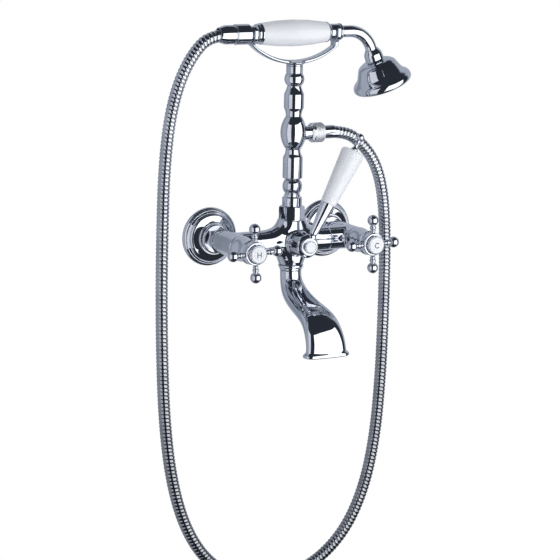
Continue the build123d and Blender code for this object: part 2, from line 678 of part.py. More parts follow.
save("swivel_nut", swivel_nut())
save("swivel_washer", tube(HANDSET, 6.4, 4.4, -70.35, -69.05))
save("rear_ferrule", rear_ferrule())
save("handset_grip", turned(
    HANDSET, (6.8, -44.0), (11.7, -44.0), (12.0, -43.6), (14.9, -2.0, "arc"), (11.5, 37.6),
    (11.3, 38.5), (11.1, 38.85), (8.65, 41.4), (6.8, 41.4),
))
save("front_ferrule", front_ferrule())
save("handset_tube", handset_tube())
save("head_nut", turned(
    HEAD, (6.75, -6.0), (7.5, -6.0), (10.1, -1.4), (10.4, -0.6), (10.8, 6.0), (9.4, 8.4), (7.9, 8.4),
    (7.9, 0.3), (6.75, 0.3),
))
save("head_washer", tube(HEAD, 7.7, 4.6, 2.05, 2.95))
save("shower_head", shower_head())
save("spray_plate", spray_plate())


# Spout: collar, tailpiece, seals, the S-shaped spout and the strainer in its mouth.
# Each station is out from the wall, height, tilt in degrees, half width, half depth, squareness.

SPOUT_STATIONS = [
    (60.0, -33.0, 0, 12.2, 12.2, 0.552),
    (61.0, -43.0, 14, 12.4, 12.2, 0.552),
    (67.0, -54.0, 36, 14.1, 12.1, 0.580),
    (83.0, -64.5, 54, 16.2, 11.6, 0.620),
    (106.5, -72.0, 57, 18.4, 10.8, 0.680),
    (130.5, -81.8, 43, 21.3, 9.9, 0.740),
    (142.0, -95.5, 19, 23.5, 9.4, 0.780),
    (145.8, -106.5, 5, 24.4, 9.2, 0.790),
    (146.3, -112.0, 0, 25.0, 9.2, 0.790),
]
SPOUT_LIP = [
    (146.3, -112.0, 0, 25.0, 9.2, 0.790),
    (146.4, -113.6, 0, 27.6, 10.5, 0.790),
    (146.4, -116.6, 0, 28.2, 10.9, 0.790),
]
TAILPIECE_DEPTH = 7.0


def spout_section(station, inset=0.0):
    """A rounded section of the spout: four quarters, each a curve from flat side to flat side."""
    out, height, tilt, half_width, half_depth, square = station
    lean = math.radians(tilt)
    place = Plane(
        origin=(0, -out, height), x_dir=(1, 0, 0), z_dir=(0, -math.sin(lean), -math.cos(lean))
    )
    a, b = half_width - inset, half_depth - inset
    quarters = []
    for sx, sy, flip in ((1, 1, False), (-1, 1, True), (-1, -1, False), (1, -1, True)):
        corners = [(sx * a, 0), (sx * a, sy * square * b), (sx * square * a, sy * b), (0, sy * b)]
        quarters.append(Bezier(*(corners[::-1] if flip else corners)))
    return place * make_face(quarters)


def spout():
    """The hollow S-shaped spout, from its round neck to its wide, flared mouth."""
    outside = loft([spout_section(s) for s in SPOUT_STATIONS])
    outside = outside + loft([spout_section(s) for s in SPOUT_LIP], ruled=True)
    below = (146.4, -118.0, 0, 25.0, 9.2, 0.790)
    inside = loft([spout_section(s, SPOUT_WALL) for s in SPOUT_STATIONS + [below]])
    socket = rod(COLUMN, SPOUT_SOCKET_R, -33.5 - TAILPIECE_DEPTH, -32.0)
    return outside - inside - socket


def outlet_strainer():
    """The pierced plate inside the mouth that calms the water."""
    upper = (146.0, -108.0, 0, 24.5, 9.1, 0.790)
    lower = (146.2, -110.4, 0, 24.7, 9.1, 0.790)
    plate = loft([spout_section(s, SPOUT_WALL + 0.45) for s in (upper, lower)], ruled=True)
    holes = [
        Pos(4.2 * i, -146.1 + 4.0 * j, -109) * Cylinder(1.3, 8)
        for i in range(-4, 5)
        for j in (-1, 0, 1)
        if abs(i) + abs(j) < 5
    ]
    return plate - Compound(children=holes)


save("spout_collar", turned(
    COLUMN, (12.6, -27.0), (13.9, -27.0), (14.4, -28.4, "arc"), (13.9, -30.0), (13.2, -30.8),
    (12.9, -32.5), (10.2, -32.5), (10.2, -31.9), (12.6, -31.9),
))
save("spout_tailpiece", turned(
    COLUMN, (7.0, -11.2), (9.94, -11.2), (9.94, -12.6), (8.6, -12.6), (8.6, -15.1), (9.94, -15.1),
    (9.94, -18.0), (8.6, -18.0), (8.6, -20.5), (9.94, -20.5), (9.94, -30.2), (12.2, -30.2),
    (12.2, -31.7), (9.7, -31.7), (9.7, -33.0 - TAILPIECE_DEPTH), (7.0, -33.0 - TAILPIECE_DEPTH),
))
save("spout_seals", tube(COLUMN, 9.92, 8.65, -15.0, -12.7), tube(COLUMN, 9.92, 8.65, -20.4, -18.1))
save("spout", spout())
save("outlet_strainer", outlet_strainer())
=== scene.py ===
import math

import bpy
import numpy as np
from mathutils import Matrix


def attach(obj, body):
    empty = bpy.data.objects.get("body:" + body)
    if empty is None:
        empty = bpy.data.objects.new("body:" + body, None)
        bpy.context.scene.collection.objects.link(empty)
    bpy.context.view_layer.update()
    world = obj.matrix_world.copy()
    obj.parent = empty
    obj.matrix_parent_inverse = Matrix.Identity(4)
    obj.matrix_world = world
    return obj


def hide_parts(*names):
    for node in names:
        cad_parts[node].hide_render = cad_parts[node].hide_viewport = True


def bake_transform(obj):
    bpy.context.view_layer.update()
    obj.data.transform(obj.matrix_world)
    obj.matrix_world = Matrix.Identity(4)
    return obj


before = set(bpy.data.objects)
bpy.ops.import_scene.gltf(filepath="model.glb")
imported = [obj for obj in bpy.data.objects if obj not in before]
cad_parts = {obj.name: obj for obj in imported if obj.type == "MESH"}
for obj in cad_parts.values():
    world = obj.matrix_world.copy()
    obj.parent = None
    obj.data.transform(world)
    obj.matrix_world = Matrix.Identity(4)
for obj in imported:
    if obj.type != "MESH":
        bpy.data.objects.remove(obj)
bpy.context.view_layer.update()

# Camera: the photographer stood to the left of the mixer, slightly above it, with a long lens. Its
# place, aim, roll and lens were fitted to the mixer's inlets, which are 150 mm apart.
CAMERA_AT = np.array([-1.20074, -2.26229, 0.45979])
CAMERA_TARGET = np.array([-0.01349, -0.060, -0.04478])
CAMERA_ROLL = -1.071
CAMERA_LENS, CAMERA_SENSOR, CAMERA_REACH = 144.06, 36.0, 50.0


def unit(vector):
    """The vector, or each row of an array of vectors, at length one."""
    vector = np.asarray(vector, float)
    return vector / np.maximum(np.linalg.norm(vector, axis=-1, keepdims=True), 1e-12)


def added(name, data):
    """A new object in the scene, made of a mesh, a lamp or a camera."""
    made = bpy.data.objects.new(name, data)
    bpy.context.scene.collection.objects.link(made)
    return made


def stand(thing, right, up, back, at):
    """Turns an object so that its own three axes lie along those directions, at a point."""
    placing = np.eye(4)
    placing[:3] = np.stack([right, up, back, at], -1)
    thing.matrix_world = placing.T.tolist()


ahead = unit(CAMERA_TARGET - CAMERA_AT)
level_right = unit(np.cross(ahead, (0, 0, 1)))
level_up = np.cross(level_right, ahead)
roll = math.radians(CAMERA_ROLL)
camera_right = level_right * math.cos(roll) - level_up * math.sin(roll)
camera_up = level_right * math.sin(roll) + level_up * math.cos(roll)
camera_data = bpy.data.cameras.new("camera")
camera_data.sensor_width = CAMERA_SENSOR
camera_data.lens = CAMERA_LENS
camera_data.clip_end = CAMERA_REACH
camera = added("camera", camera_data)
stand(camera, camera_right, camera_up, -ahead, CAMERA_AT)
bpy.context.scene.camera = camera
bpy.context.scene.view_settings.view_transform = "Standard"


# Studio: a white sweep behind, and round the object the dark and bright cards that chrome reflects.
# Each card is a patch of directions, by bearing from the camera's side and by height, in degrees.

def put(tree, kind, settings, values):
    """Adds a node. Settings go by attribute name; sockets by name or number, from wires or numbers."""
    node = tree.nodes.new(kind)
    for key, value in settings.items():
        setattr(node, key, value)
    for key, value in values.items():
        if isinstance(value, Wire):
            tree.links.new(value.socket, node.inputs[key])
        else:
            node.inputs[key].default_value = value
    return node


class Wire:
    """One output of a shader node. Sums, products and the methods below add nodes to its tree."""

    def __init__(self, tree, socket):
        self.tree = tree
        self.socket = socket

    def maths(self, operation, *others):
        """The result of a Math node on the wire and the others, in that order."""
        node = put(self.tree, "ShaderNodeMath", {"operation": operation}, dict(enumerate((self, *others))))
        return Wire(self.tree, node.outputs[0])

    def __add__(self, other):
        return self.maths("ADD", other)

    def __sub__(self, other):
        return self.maths("SUBTRACT", other)

    def __rsub__(self, other):
        node = put(self.tree, "ShaderNodeMath", {"operation": "SUBTRACT"}, {0: other, 1: self})
        return Wire(self.tree, node.outputs[0])

    def __mul__(self, other):
        return self.maths("MULTIPLY", other)

    __radd__, __rmul__ = __add__, __mul__

    def ramp(self, low, high, start=0.0, end=1.0):
        """A smooth step from start to end, as the wire goes from low to high."""
        values = {"From Min": low, "From Max": high, "To Min": start, "To Max": end, "Value": self}
        node = put(self.tree, "ShaderNodeMapRange", {"interpolation_type": "SMOOTHSTEP"}, values)
        return Wire(self.tree, node.outputs["Result"])

    def mix(self, first, second):
        """The first colour where the wire is 0 and the second where it is 1."""
        node = put(self.tree, "ShaderNodeMix", {"data_type": "RGBA"}, {0: self})
        for socket, colour in ((node.inputs[6], first), (node.inputs[7], second)):
            if isinstance(colour, Wire):
                self.tree.links.new(colour.socket, socket)
            else:
                socket.default_value = (*colour, 1.0)
        return Wire(self.tree, node.outputs[2])

    def dot(self, vector):
        """How far the wire's vector reaches along another."""
        node = put(self.tree, "ShaderNodeVectorMath", {"operation": "DOT_PRODUCT"}, {0: self, 1: vector})
        return Wire(self.tree, node.outputs["Value"])

    def noise(self, size, detail):
        """Cloudy noise at the place that the wire gives, in blurs of about that size in metres."""
        values = {"Vector": self, "Scale": 1 / size, "Detail": detail}
        return Wire(self.tree, put(self.tree, "ShaderNodeTexNoise", {}, values).outputs[0])

    def relief(self, distance, strength=1.0):
        """The normals of a skin that the wire raises by up to a distance in metres."""
        values = {"Height": self, "Distance": distance, "Strength": strength}
        return Wire(self.tree, put(self.tree, "ShaderNodeBump", {}, values).outputs[0])

    def feed(self, shader, name):
        """Joins the wire to one of a shader's sockets."""
        self.tree.links.new(self.socket, shader.inputs[name])


world = bpy.data.worlds.new("studio")
bpy.context.scene.world = world
world.use_nodes = True
sky = world.node_tree
sky.nodes.clear()
direction = Wire(sky, put(sky, "ShaderNodeTexCoord", {}, {}).outputs["Generated"])
to_camera = unit((-ahead[0], -ahead[1], 0))
rightward = unit((level_right[0], level_right[1], 0))
bearing = direction.dot(rightward).maths("ARCTAN2", direction.dot(to_camera))
height = direction.dot((0, 0, 1)).maths("ARCSINE")

CARDS = [
    # bearing from, to, height from, to, edge softness, colour
    (-200, -58, -58, 58, 8, (0.48, 0.51, 0.58)),
    (-142, -118, -60, 66, 8, (0.30, 0.33, 0.38)),
    (118, 200, -50, 50, 8, (0.50, 0.53, 0.60)),
]
SHADE = (0.030, 0.036, 0.046)
seen = SHADE
for start, end, low, high, soft, colour in CARDS:
    start, end, low, high, soft = (math.radians(x) for x in (start, end, low, high, soft))
    inside = height.ramp(low - soft, low + soft) * height.ramp(high - soft, high + soft, 1.0, 0.0)
    if start > -math.pi:
        inside = inside * bearing.ramp(start - soft, start + soft)
    if end < math.pi:
        inside = inside * bearing.ramp(end - soft, end + soft, 1.0, 0.0)
    seen = inside.mix(seen, colour)
path = put(sky, "ShaderNodeLightPath", {}, {})
final = Wire(sky, path.outputs["Is Camera Ray"]).mix(seen, (1.0, 1.0, 1.0))
background = put(sky, "ShaderNodeBackground", {}, {"Color": final, "Strength": 1.0})
put(sky, "ShaderNodeOutputWorld", {}, {"Surface": Wire(sky, background.outputs[0])})

# Sheets: two curved screens of lit cloth round the mixer, near enough for the mirrored windows to
# sit lower on the shower head than on the spout. The camera doesn't see them, and they cast no shadow.
SHEET_R, SHEET_STRIPS = 0.90, 24
SHEET_CENTRE = (0, -0.060, 0)
SHEETS = [
    # name, bearing from, to, height from, to, brightness, colour
    ("grey_sheet", -56, -19, -0.69, 0.60, 1.0, (0.88, 0.88, 0.93)),
    ("white_sheet", 16.5, 86, -0.61, 0.62, 1.9, (1.0, 1.0, 1.0)),
]
for name, start, end, low, high, brightness, colour in SHEETS:
    angle = np.radians(np.linspace(start, end, SHEET_STRIPS + 1))[:, None]
    edge = SHEET_R * (np.cos(angle) * to_camera + np.sin(angle) * rightward) + SHEET_CENTRE
    rows = [(x, y, z) for x, y in edge[:, :2] for z in (low, high)]
    faces = [(2 * i, 2 * i + 2, 2 * i + 3, 2 * i + 1) for i in range(SHEET_STRIPS)]
    sheet_mesh = bpy.data.meshes.new(name)
    sheet_mesh.from_pydata(rows, [], faces)
    sheet = added(name, sheet_mesh)
    cloth = bpy.data.materials.new(name)
    cloth.use_nodes = True
    tree = cloth.node_tree
    tree.nodes.clear()
    glow = put(tree, "ShaderNodeEmission", {}, {"Color": (*colour, 1.0), "Strength": brightness})
    put(tree, "ShaderNodeOutputMaterial", {}, {"Surface": Wire(tree, glow.outputs[0])})
    sheet_mesh.materials.append(cloth)
    sheet.visible_camera = False
    sheet.visible_shadow = False

# Lamps: large soft boxes that light the porcelain. The sheets are what the chrome mirrors, so the
# lamps don't show in it.
LAMPS = [
    # name, place, width, power
    ("key_lamp", (1.2, -1.6, 1.6), 1.2, 10.5),
    ("fill_lamp", (-1.3, -1.2, 1.7), 1.4, 11.0),
    ("back_lamp", (-0.4, 1.6, 1.2), 1.4, 10.0),
]
for name, at, width, power in LAMPS:
    lamp_data = bpy.data.lights.new(name, "AREA")
    lamp_data.size = width
    lamp_data.energy = power
    lamp = added(name, lamp_data)
    away = -unit(at)
    side = unit(np.cross(away, (0, 0, 1)))
    stand(lamp, side, np.cross(side, away), -away, at)
    lamp.visible_camera = False
    lamp.visible_glossy = False

# Floor: a plain pale sheet a little below the hose. The camera sees through it to the white sweep,
# and the chrome doesn't mirror it.
FLOOR_HEIGHT, FLOOR_HALF = -0.47, 3
floor_mesh = bpy.data.meshes.new("floor")
corners = [(x * FLOOR_HALF, y * FLOOR_HALF, FLOOR_HEIGHT) for x, y in ((-1, -1), (1, -1), (1, 1), (-1, 1))]
floor_mesh.from_pydata(corners, [], [(0, 1, 2, 3)])
floor = added("floor", floor_mesh)
floor_paint = bpy.data.materials.new("floor_paint")
floor_paint.use_nodes = True
tree = floor_paint.node_tree
tree.nodes.clear()
ray = put(tree, "ShaderNodeLightPath", {}, {})
pale = put(tree, "ShaderNodeBsdfDiffuse", {}, {"Color": (0.80, 0.81, 0.83, 1.0)})
clear = put(tree, "ShaderNodeBsdfTransparent", {}, {})
either = put(tree, "ShaderNodeMixShader", {}, {
    0: Wire(tree, ray.outputs["Is Camera Ray"]),
    1: Wire(tree, pale.outputs[0]),
    2: Wire(tree, clear.outputs[0]),
})
put(tree, "ShaderNodeOutputMaterial", {}, {"Surface": Wire(tree, either.outputs[0])})
floor_mesh.materials.append(floor_paint)
floor.visible_glossy = False


# Hose: a flexible shower hose of wound chromed metal strip. It leaves the column's outlet, hangs
# in one long loop and comes up to the hand shower. Each turn of the strip is one rounded rib.

MM = 0.001
COLUMN_Y = -0.060
HOSE_R = 7.0
HOSE_GROOVE_R = 6.1
HOSE_RIB_PITCH = 4.4
# Painted shade on the hose: two heights in metres, and the share of its own colour that it keeps at and
# below the lower one and at and above the upper one.
HOSE_SHADED_BELOW, HOSE_UNSHADED_ABOVE, HOSE_PAINTED_SHADE = -0.24, 0.10, (0.50, 0.86)
HOSE_PLAIN_END = 14.0
HOSE_ROUTE = [
    (0.0410, 0.1225), (0.0670, 0.1225), (0.0895, 0.1075), (0.1075, 0.0855), (0.1185, 0.0540),
    (0.1235, 0.0120), (0.1250, -0.0380), (0.1248, -0.1040), (0.1230, -0.1780), (0.1175, -0.2460),
    (0.1050, -0.3040), (0.0820, -0.3520), (0.0470, -0.3850), (0.0050, -0.4010), (-0.0380, -0.4010),
    (-0.0790, -0.3860), (-0.1110, -0.3570), (-0.1340, -0.3150), (-0.1490, -0.2610),
    (-0.1575, -0.1950), (-0.1610, -0.1220), (-0.1623, -0.0500), (-0.1620, 0.0220),
    (-0.1603, 0.0900), (-0.1545, 0.1450), (-0.1435, 0.1855), (-0.1270, 0.2160),
    (-0.1060, 0.2359), (-0.0805, 0.2359),
]


def join(skins):
    """One skin from several. A skin is points, normals, four-cornered faces and three-cornered faces."""
    shift, points, normals, quads, tris = 0, [], [], [], []
    for skin in skins:
        points.append(skin[0])
        normals.append(skin[1])
        quads.append(skin[2] + shift)
        tris.append(skin[3] + shift)
        shift += len(skin[0])
    return tuple(np.concatenate(x) for x in (points, normals, quads, tris))


def piece(name, skins, material, body, slot, *nodes):
    """A smooth mesh object made of skins, riding on a body in place of CAD nodes."""
    points, normals, quads, tris = join(skins)
    mesh = bpy.data.meshes.new(name)
    mesh.vertices.add(len(points))
    mesh.vertices.foreach_set("co", points.astype(np.float32).ravel())
    corners = np.concatenate([quads.ravel(), tris.ravel()]).astype(np.int32)
    sizes = np.concatenate([np.full(len(quads), 4), np.full(len(tris), 3)])
    mesh.loops.add(len(corners))
    mesh.loops.foreach_set("vertex_index", corners)
    mesh.polygons.add(len(sizes))
    mesh.polygons.foreach_set("loop_start", (np.cumsum(sizes) - sizes).astype(np.int32))
    mesh.update(calc_edges=True)
    mesh.validate()
    mesh.normals_split_custom_set_from_vertices(unit(normals).tolist())
    mesh.materials.append(material)
    made = added(name, mesh)
    if body:
        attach(made, body)
    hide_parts(*nodes)
    return made


def faces_of(ids, wrap):
    """Faces of a grid of point numbers. Columns close on themselves, and rows too where wrap says so.
    A row whose numbers are all the same is a pole, and its faces have three corners."""
    after = np.roll(ids, -1, axis=0) if wrap else ids[1:]
    here = ids if wrap else ids[:-1]
    quads = np.stack([here, np.roll(here, -1, 1), np.roll(after, -1, 1), after], -1).reshape(-1, 4)
    first_pole = quads[:, 0] == quads[:, 1]
    last_pole = quads[:, 2] == quads[:, 3]
    tris = np.concatenate([quads[first_pole][:, 1:], quads[last_pole][:, :3]])
    return quads[~(first_pole | last_pole)], tris


def lattice(rows, normals, wrap):
    """A skin from a grid of points in metres. Rows that have shrunk to one point become poles."""
    count, around = rows.shape[:2]
    ids = np.arange(count * around).reshape(count, around)
    for row in (0, count - 1):
        if not wrap and np.ptp(rows[row], axis=0).max() < 1e-9:
            ids[row] = ids[row, 0]
    quads, tris = faces_of(ids, wrap)
    used, renumbered = np.unique(ids, return_inverse=True)
    table = np.zeros(count * around, int)
    table[ids.ravel()] = renumbered.ravel()
    return rows.reshape(-1, 3)[used], normals.reshape(-1, 3)[used], table[quads], table[tris]


def swept(path, radii, around):
    """A round skin along a path in a plane of constant Y. At each point of the path it is a circle,
    square to the path, of that point's radius, or of one radius for each angle. The normals lean with
    the change of radius along the path and round it. Both ends close in a pole."""
    radii = np.broadcast_to(np.reshape(radii, (len(path), -1)), (len(path), around))
    forward = unit(np.gradient(path, axis=0))
    steps = np.linalg.norm(np.diff(path, axis=0), axis=1)
    distance = np.concatenate([[0], np.cumsum(steps)])
    slope = np.gradient(radii, np.maximum(distance, np.arange(len(path)) * 1e-9), axis=0)
    twist = (np.roll(radii, -1, axis=1) - np.roll(radii, 1, axis=1)) * around / (4 * math.pi * radii)
    angle = np.linspace(0, 2 * math.pi, around, endpoint=False)
    depth = np.array([0.0, 1.0, 0.0])
    across = np.cross(forward, depth)
    radial = np.cos(angle)[None, :, None] * depth + np.sin(angle)[None, :, None] * across[:, None]
    tangent = np.cos(angle)[None, :, None] * across[:, None] - np.sin(angle)[None, :, None] * depth
    rows = path[:, None] + radial * radii[..., None]
    normals = radial - forward[:, None] * slope[..., None] - tangent * twist[..., None]

    def level(vector):
        return np.broadcast_to(vector, (1, around, 3))

    back, on = level(-forward[0]), level(forward[-1])
    rows = np.concatenate([level(path[0]), rows[:1], rows, rows[-1:], level(path[-1])])
    return lattice(rows, np.concatenate([back, back, normals, on, on]), False)


def place_on(tree):
    """Where on its object a point of the skin lies, in metres."""
    return Wire(tree, put(tree, "ShaderNodeTexCoord", {}, {}).outputs["Object"])


def fresh(name):
    """A new material, with its shader and the wire of the place on the object."""
    material = bpy.data.materials.new(name)
    material.use_nodes = True
    return material, material.node_tree.nodes["Principled BSDF"], place_on(material.node_tree)


TONE_DRIFT, SMUDGE, GRAIN_SHARE = 0.03, 0.012, 0.06


def metal(name, dark, bright, rough, ripple, ripple_size, grain=0.004):
    """Plated metal: its tone drifts between two colours, its gloss with faint wiped smudges, and its
    skin has the shallow ripple that polishing leaves, with a little finer grain. Sizes are in metres."""
    material, shader, place = fresh(name)
    place.noise(TONE_DRIFT, 3).ramp(0.3, 0.7).mix(dark, bright).feed(shader, "Base Color")
    place.noise(SMUDGE, 5).ramp(0.42, 0.72, *rough).feed(shader, "Roughness")
    skin = place.noise(ripple_size, 1) + place.noise(grain, 2) * GRAIN_SHARE
    skin.relief(ripple).feed(shader, "Normal")
    shader.inputs["Metallic"].default_value = 1.0
    return material


hose_curve = bpy.data.curves.new("hose_route", "CURVE")
hose_curve.dimensions = "3D"
hose_curve.resolution_u = 24
spline = hose_curve.splines.new("NURBS")
spline.points.add(len(HOSE_ROUTE) - 1)
for point, (x, z) in zip(spline.points, HOSE_ROUTE):
    point.co = (x, COLUMN_Y, z, 1.0)
spline.order_u = 3
spline.use_endpoint_u = True
route_object = bpy.data.objects.new("hose_route", hose_curve)
route_mesh = bpy.data.meshes.new_from_object(route_object)
route = np.array([v.co for v in route_mesh.vertices], float)
bpy.data.objects.remove(route_object)
run = np.concatenate([[0], np.cumsum(np.linalg.norm(np.diff(route, axis=0), axis=1))])
hose_run = run[-1] / MM
ribs = round((hose_run - 2 * HOSE_PLAIN_END) / HOSE_RIB_PITCH)
pitch = (hose_run - 2 * HOSE_PLAIN_END) / ribs
# One rib: share of the pitch, and share of the groove's depth that the skin stands above the groove.
RIB = [
    (0.0, 0.0), (0.07, 0.38), (0.16, 0.70), (0.29, 0.92), (0.45, 1.0), (0.57, 1.0), (0.72, 0.92),
    (0.84, 0.70), (0.93, 0.38), (1.0, 0.0),
]
HOSE_AROUND, ROWS_PER_RIB = 26, 11
spots = np.linspace(0, hose_run, ribs * ROWS_PER_RIB)
hose_line = np.stack([np.interp(spots * MM, run, route[:, k]) for k in range(3)], -1)
turns = ((spots - HOSE_PLAIN_END) / pitch)[:, None] + np.arange(HOSE_AROUND) / HOSE_AROUND
heights = np.interp(turns % 1.0, *np.transpose(RIB))
inset = np.minimum(spots, hose_run - spots) - HOSE_PLAIN_END
heights = 1 - (1 - heights) * np.clip(inset / pitch, 0, 1)[:, None]
hose_radii = (HOSE_GROOVE_R + (HOSE_R - HOSE_GROOVE_R) * heights) * MM
hose_metal = metal("hose_chrome", (0.56, 0.59, 0.65), (0.72, 0.75, 0.80), (0.05, 0.14), 0.00003, 0.006)
hose_tree = hose_metal.node_tree
hose_shader = hose_tree.nodes["Principled BSDF"]
# Painted shade: the hose's colour darkens towards the bottom of its loop, as it does in the photograph. It
# stands in for the darker surroundings that its lower part mirrors.
painted_shade = place_on(hose_tree).dot((0, 0, 1)).ramp(HOSE_SHADED_BELOW, HOSE_UNSHADED_ABOVE, *HOSE_PAINTED_SHADE)
unshaded = Wire(hose_tree, hose_shader.inputs["Base Color"].links[0].from_socket)
painted_shade.mix((0.0, 0.0, 0.0), unshaded).feed(hose_shader, "Base Color")
hose_skin = swept(hose_line, hose_radii, HOSE_AROUND)
hose = piece("hose_ribs", [hose_skin], hose_metal, None, "chrome", "shower_hose")
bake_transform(hose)


# Wall flanges: the round covers on the wall, spun from brass sheet and chromed. Each has two rounded
# steps, a shallow cone and a collar, and is held against the wall by the union nut.

class Place:
    """Where a turned piece stands: an origin in millimetres and three square axes."""

    def __init__(self, origin, z, x):
        self.origin = np.array(origin, float)
        self.z = unit(z)
        self.x = unit(x)
        self.y = np.cross(self.z, self.x)

    def put(self, local):
        """Points in metres from local millimetres."""
        return (self.origin + self.turn(local)) * MM

    def turn(self, local):
        """Directions in the world from directions along the three axes."""
        return local[..., :1] * self.x + local[..., 1:2] * self.y + local[..., 2:] * self.z


def arc_through(start, middle, end, step):
    """Points from start to end along the circle through all three, at even steps of about that angle."""
    (ax, ay), (bx, by), (cx, cy) = start, middle, end
    d = 2 * (ax * (by - cy) + bx * (cy - ay) + cx * (ay - by))
    aa, bb, cc = ax * ax + ay * ay, bx * bx + by * by, cx * cx + cy * cy
    centre = np.array([
        (aa * (by - cy) + bb * (cy - ay) + cc * (ay - by)) / d,
        (aa * (cx - bx) + bb * (ax - cx) + cc * (bx - ax)) / d,
    ])
    spokes = [np.array(p) - centre for p in (start, middle, end)]
    turns = [math.atan2(p[1], p[0]) for p in spokes]
    half = (turns[1] - turns[0] + math.pi) % (2 * math.pi) - math.pi
    rest = (turns[2] - turns[1] + math.pi) % (2 * math.pi) - math.pi
    count = max(4, math.ceil(abs(half + rest) / math.radians(step)))
    sweep = turns[0] + (half + rest) * np.arange(1, count + 1) / count
    radius = np.linalg.norm(spokes[0])
    return [centre + radius * np.array([math.cos(t), math.sin(t)]) for t in sweep]


SHARP, EASED_SHARE = 1.7, 0.42


def traced(outline, ease, step=7.0):
    """A turned outline as close points and unit normals. Entries are (radius, height), and one with a
    third entry is the middle of an arc. Each corner sharper than a few steps is eased by a short
    quadratic curve, over no more than its share of the straights beside it."""
    closed = outline[0][0] > 0 or outline[-1][0] > 0
    corners = list(outline) + ([outline[0]] if closed else [])
    run, i = [np.array(corners[0][:2], float)], 1
    while i < len(corners):
        if len(corners[i]) == 3:
            run += arc_through(run[-1], corners[i][:2], corners[i + 1][:2], step)
            i += 2
        else:
            run.append(np.array(corners[i], float))
            i += 1
    if closed:
        run.pop()
    count = len(run)
    spots, tangents = [], []
    for i, here in enumerate(run):
        before = run[i - 1] if closed or i else None
        after = run[(i + 1) % count] if closed or i + 1 < count else None
        into = unit(here - before) if before is not None else unit(after - here)
        out = unit(after - here) if after is not None else into
        bend = math.degrees(math.acos(max(-1.0, min(1.0, float(into @ out)))))
        if bend > SHARP * step and before is not None and after is not None:
            beside = np.linalg.norm(here - before), np.linalg.norm(after - here)
            reach = min(ease, *(EASED_SHARE * length for length in beside))
            a, b = here - into * reach, here + out * reach
            for u in (0.0, 0.25, 0.5, 0.75, 1.0):
                spots.append((1 - u) ** 2 * a + 2 * u * (1 - u) * here + u * u * b)
                tangents.append((1 - u) * into + u * out)
        else:
            spots.append(here)
            tangents.append(into + out)
    spots, tangents = np.array(spots), unit(np.array(tangents))
    ahead = np.roll(spots, -1, axis=0)
    area = (spots[:, 0] * ahead[:, 1] - ahead[:, 0] * spots[:, 1]).sum()
    if area < 0:
        spots, tangents = spots[::-1], -tangents[::-1]
    return spots, np.stack([tangents[:, 1], -tangents[:, 0]], -1), closed


def circle(angle):
    """Unit vectors at each angle, square to the axis that a piece turns about."""
    return np.stack([np.cos(angle), np.sin(angle)], -1)


def raised(flat, heights):
    """Rings of flat points, each ring at its own height."""
    heights = np.reshape(heights, (-1, 1, 1))
    return np.concatenate([flat, np.broadcast_to(heights, (*flat.shape[:2], 1))], -1)


def turned(place, outline, ease=0.25, around=96):
    """The skin that a closed outline leaves when it turns once about the place's z axis."""
    spots, slopes, closed = traced(outline, ease)
    ring = circle(np.linspace(0, 2 * math.pi, around, endpoint=False))
    points, normals = (raised(values[:, None, :1] * ring, values[:, 1]) for values in (spots, slopes))
    return lattice(place.put(points), place.turn(normals), closed)


def outward(x):
    """On the wall at x, with z out of the wall."""
    return Place((x, 0, 0), (0, -1, 0), (1, 0, 0))


CHROME_DARK, CHROME_BRIGHT = (0.60, 0.63, 0.69), (0.70, 0.73, 0.79)
INLET_OUT, COLUMN_OUT = 75, 60
LEFT, RIGHT = outward(-INLET_OUT), outward(INLET_OUT)
SIDES = (("hot", LEFT), ("cold", RIGHT))
FLANGE = [
    (31.8, 0), (33.8, 0), (33.8, 1.4), (32.9, 4.2, "arc"), (30.7, 6.2), (30.3, 5.9), (29.9, 6.3),
    (28.5, 8.0), (28.2, 7.8), (27.9, 8.2), (26.4, 10.3, "arc"), (24.3, 11.2), (19.0, 13.55),
    (19.2, 14.7, "arc"), (18.3, 16.0), (17.4, 16.0), (17.4, 11.6), (24.0, 9.0), (29.8, 3.2), (31.8, 2.0),
]
spun = metal("spun_chrome", CHROME_DARK, CHROME_BRIGHT, (0.02, 0.07), 0.00002, 0.02)
for side, place in SIDES:
    skins = [turned(place, FLANGE, 0.3, 144)]
    piece(f"{side}_flange_spun", skins, spun, "mixer", "chrome", f"{side}_wall_flange")


# Union nuts: forged brass, chromed. Each has a round skirt over the wall union and a hexagon with
# turned corners, and draws the body's barrel onto the union.

CONE_RISE, FACE_EDGE, FLAT_CROWN = 1.6, 0.03, 0.15


def square_to(grid):
    """Unit normals of a grid of points, from the cross product of the steps round and along it."""
    along = np.roll(grid, -1, 1) - np.roll(grid, 1, 1)
    return unit(np.cross(along, np.roll(grid, -1, 0) - np.roll(grid, 1, 0)))


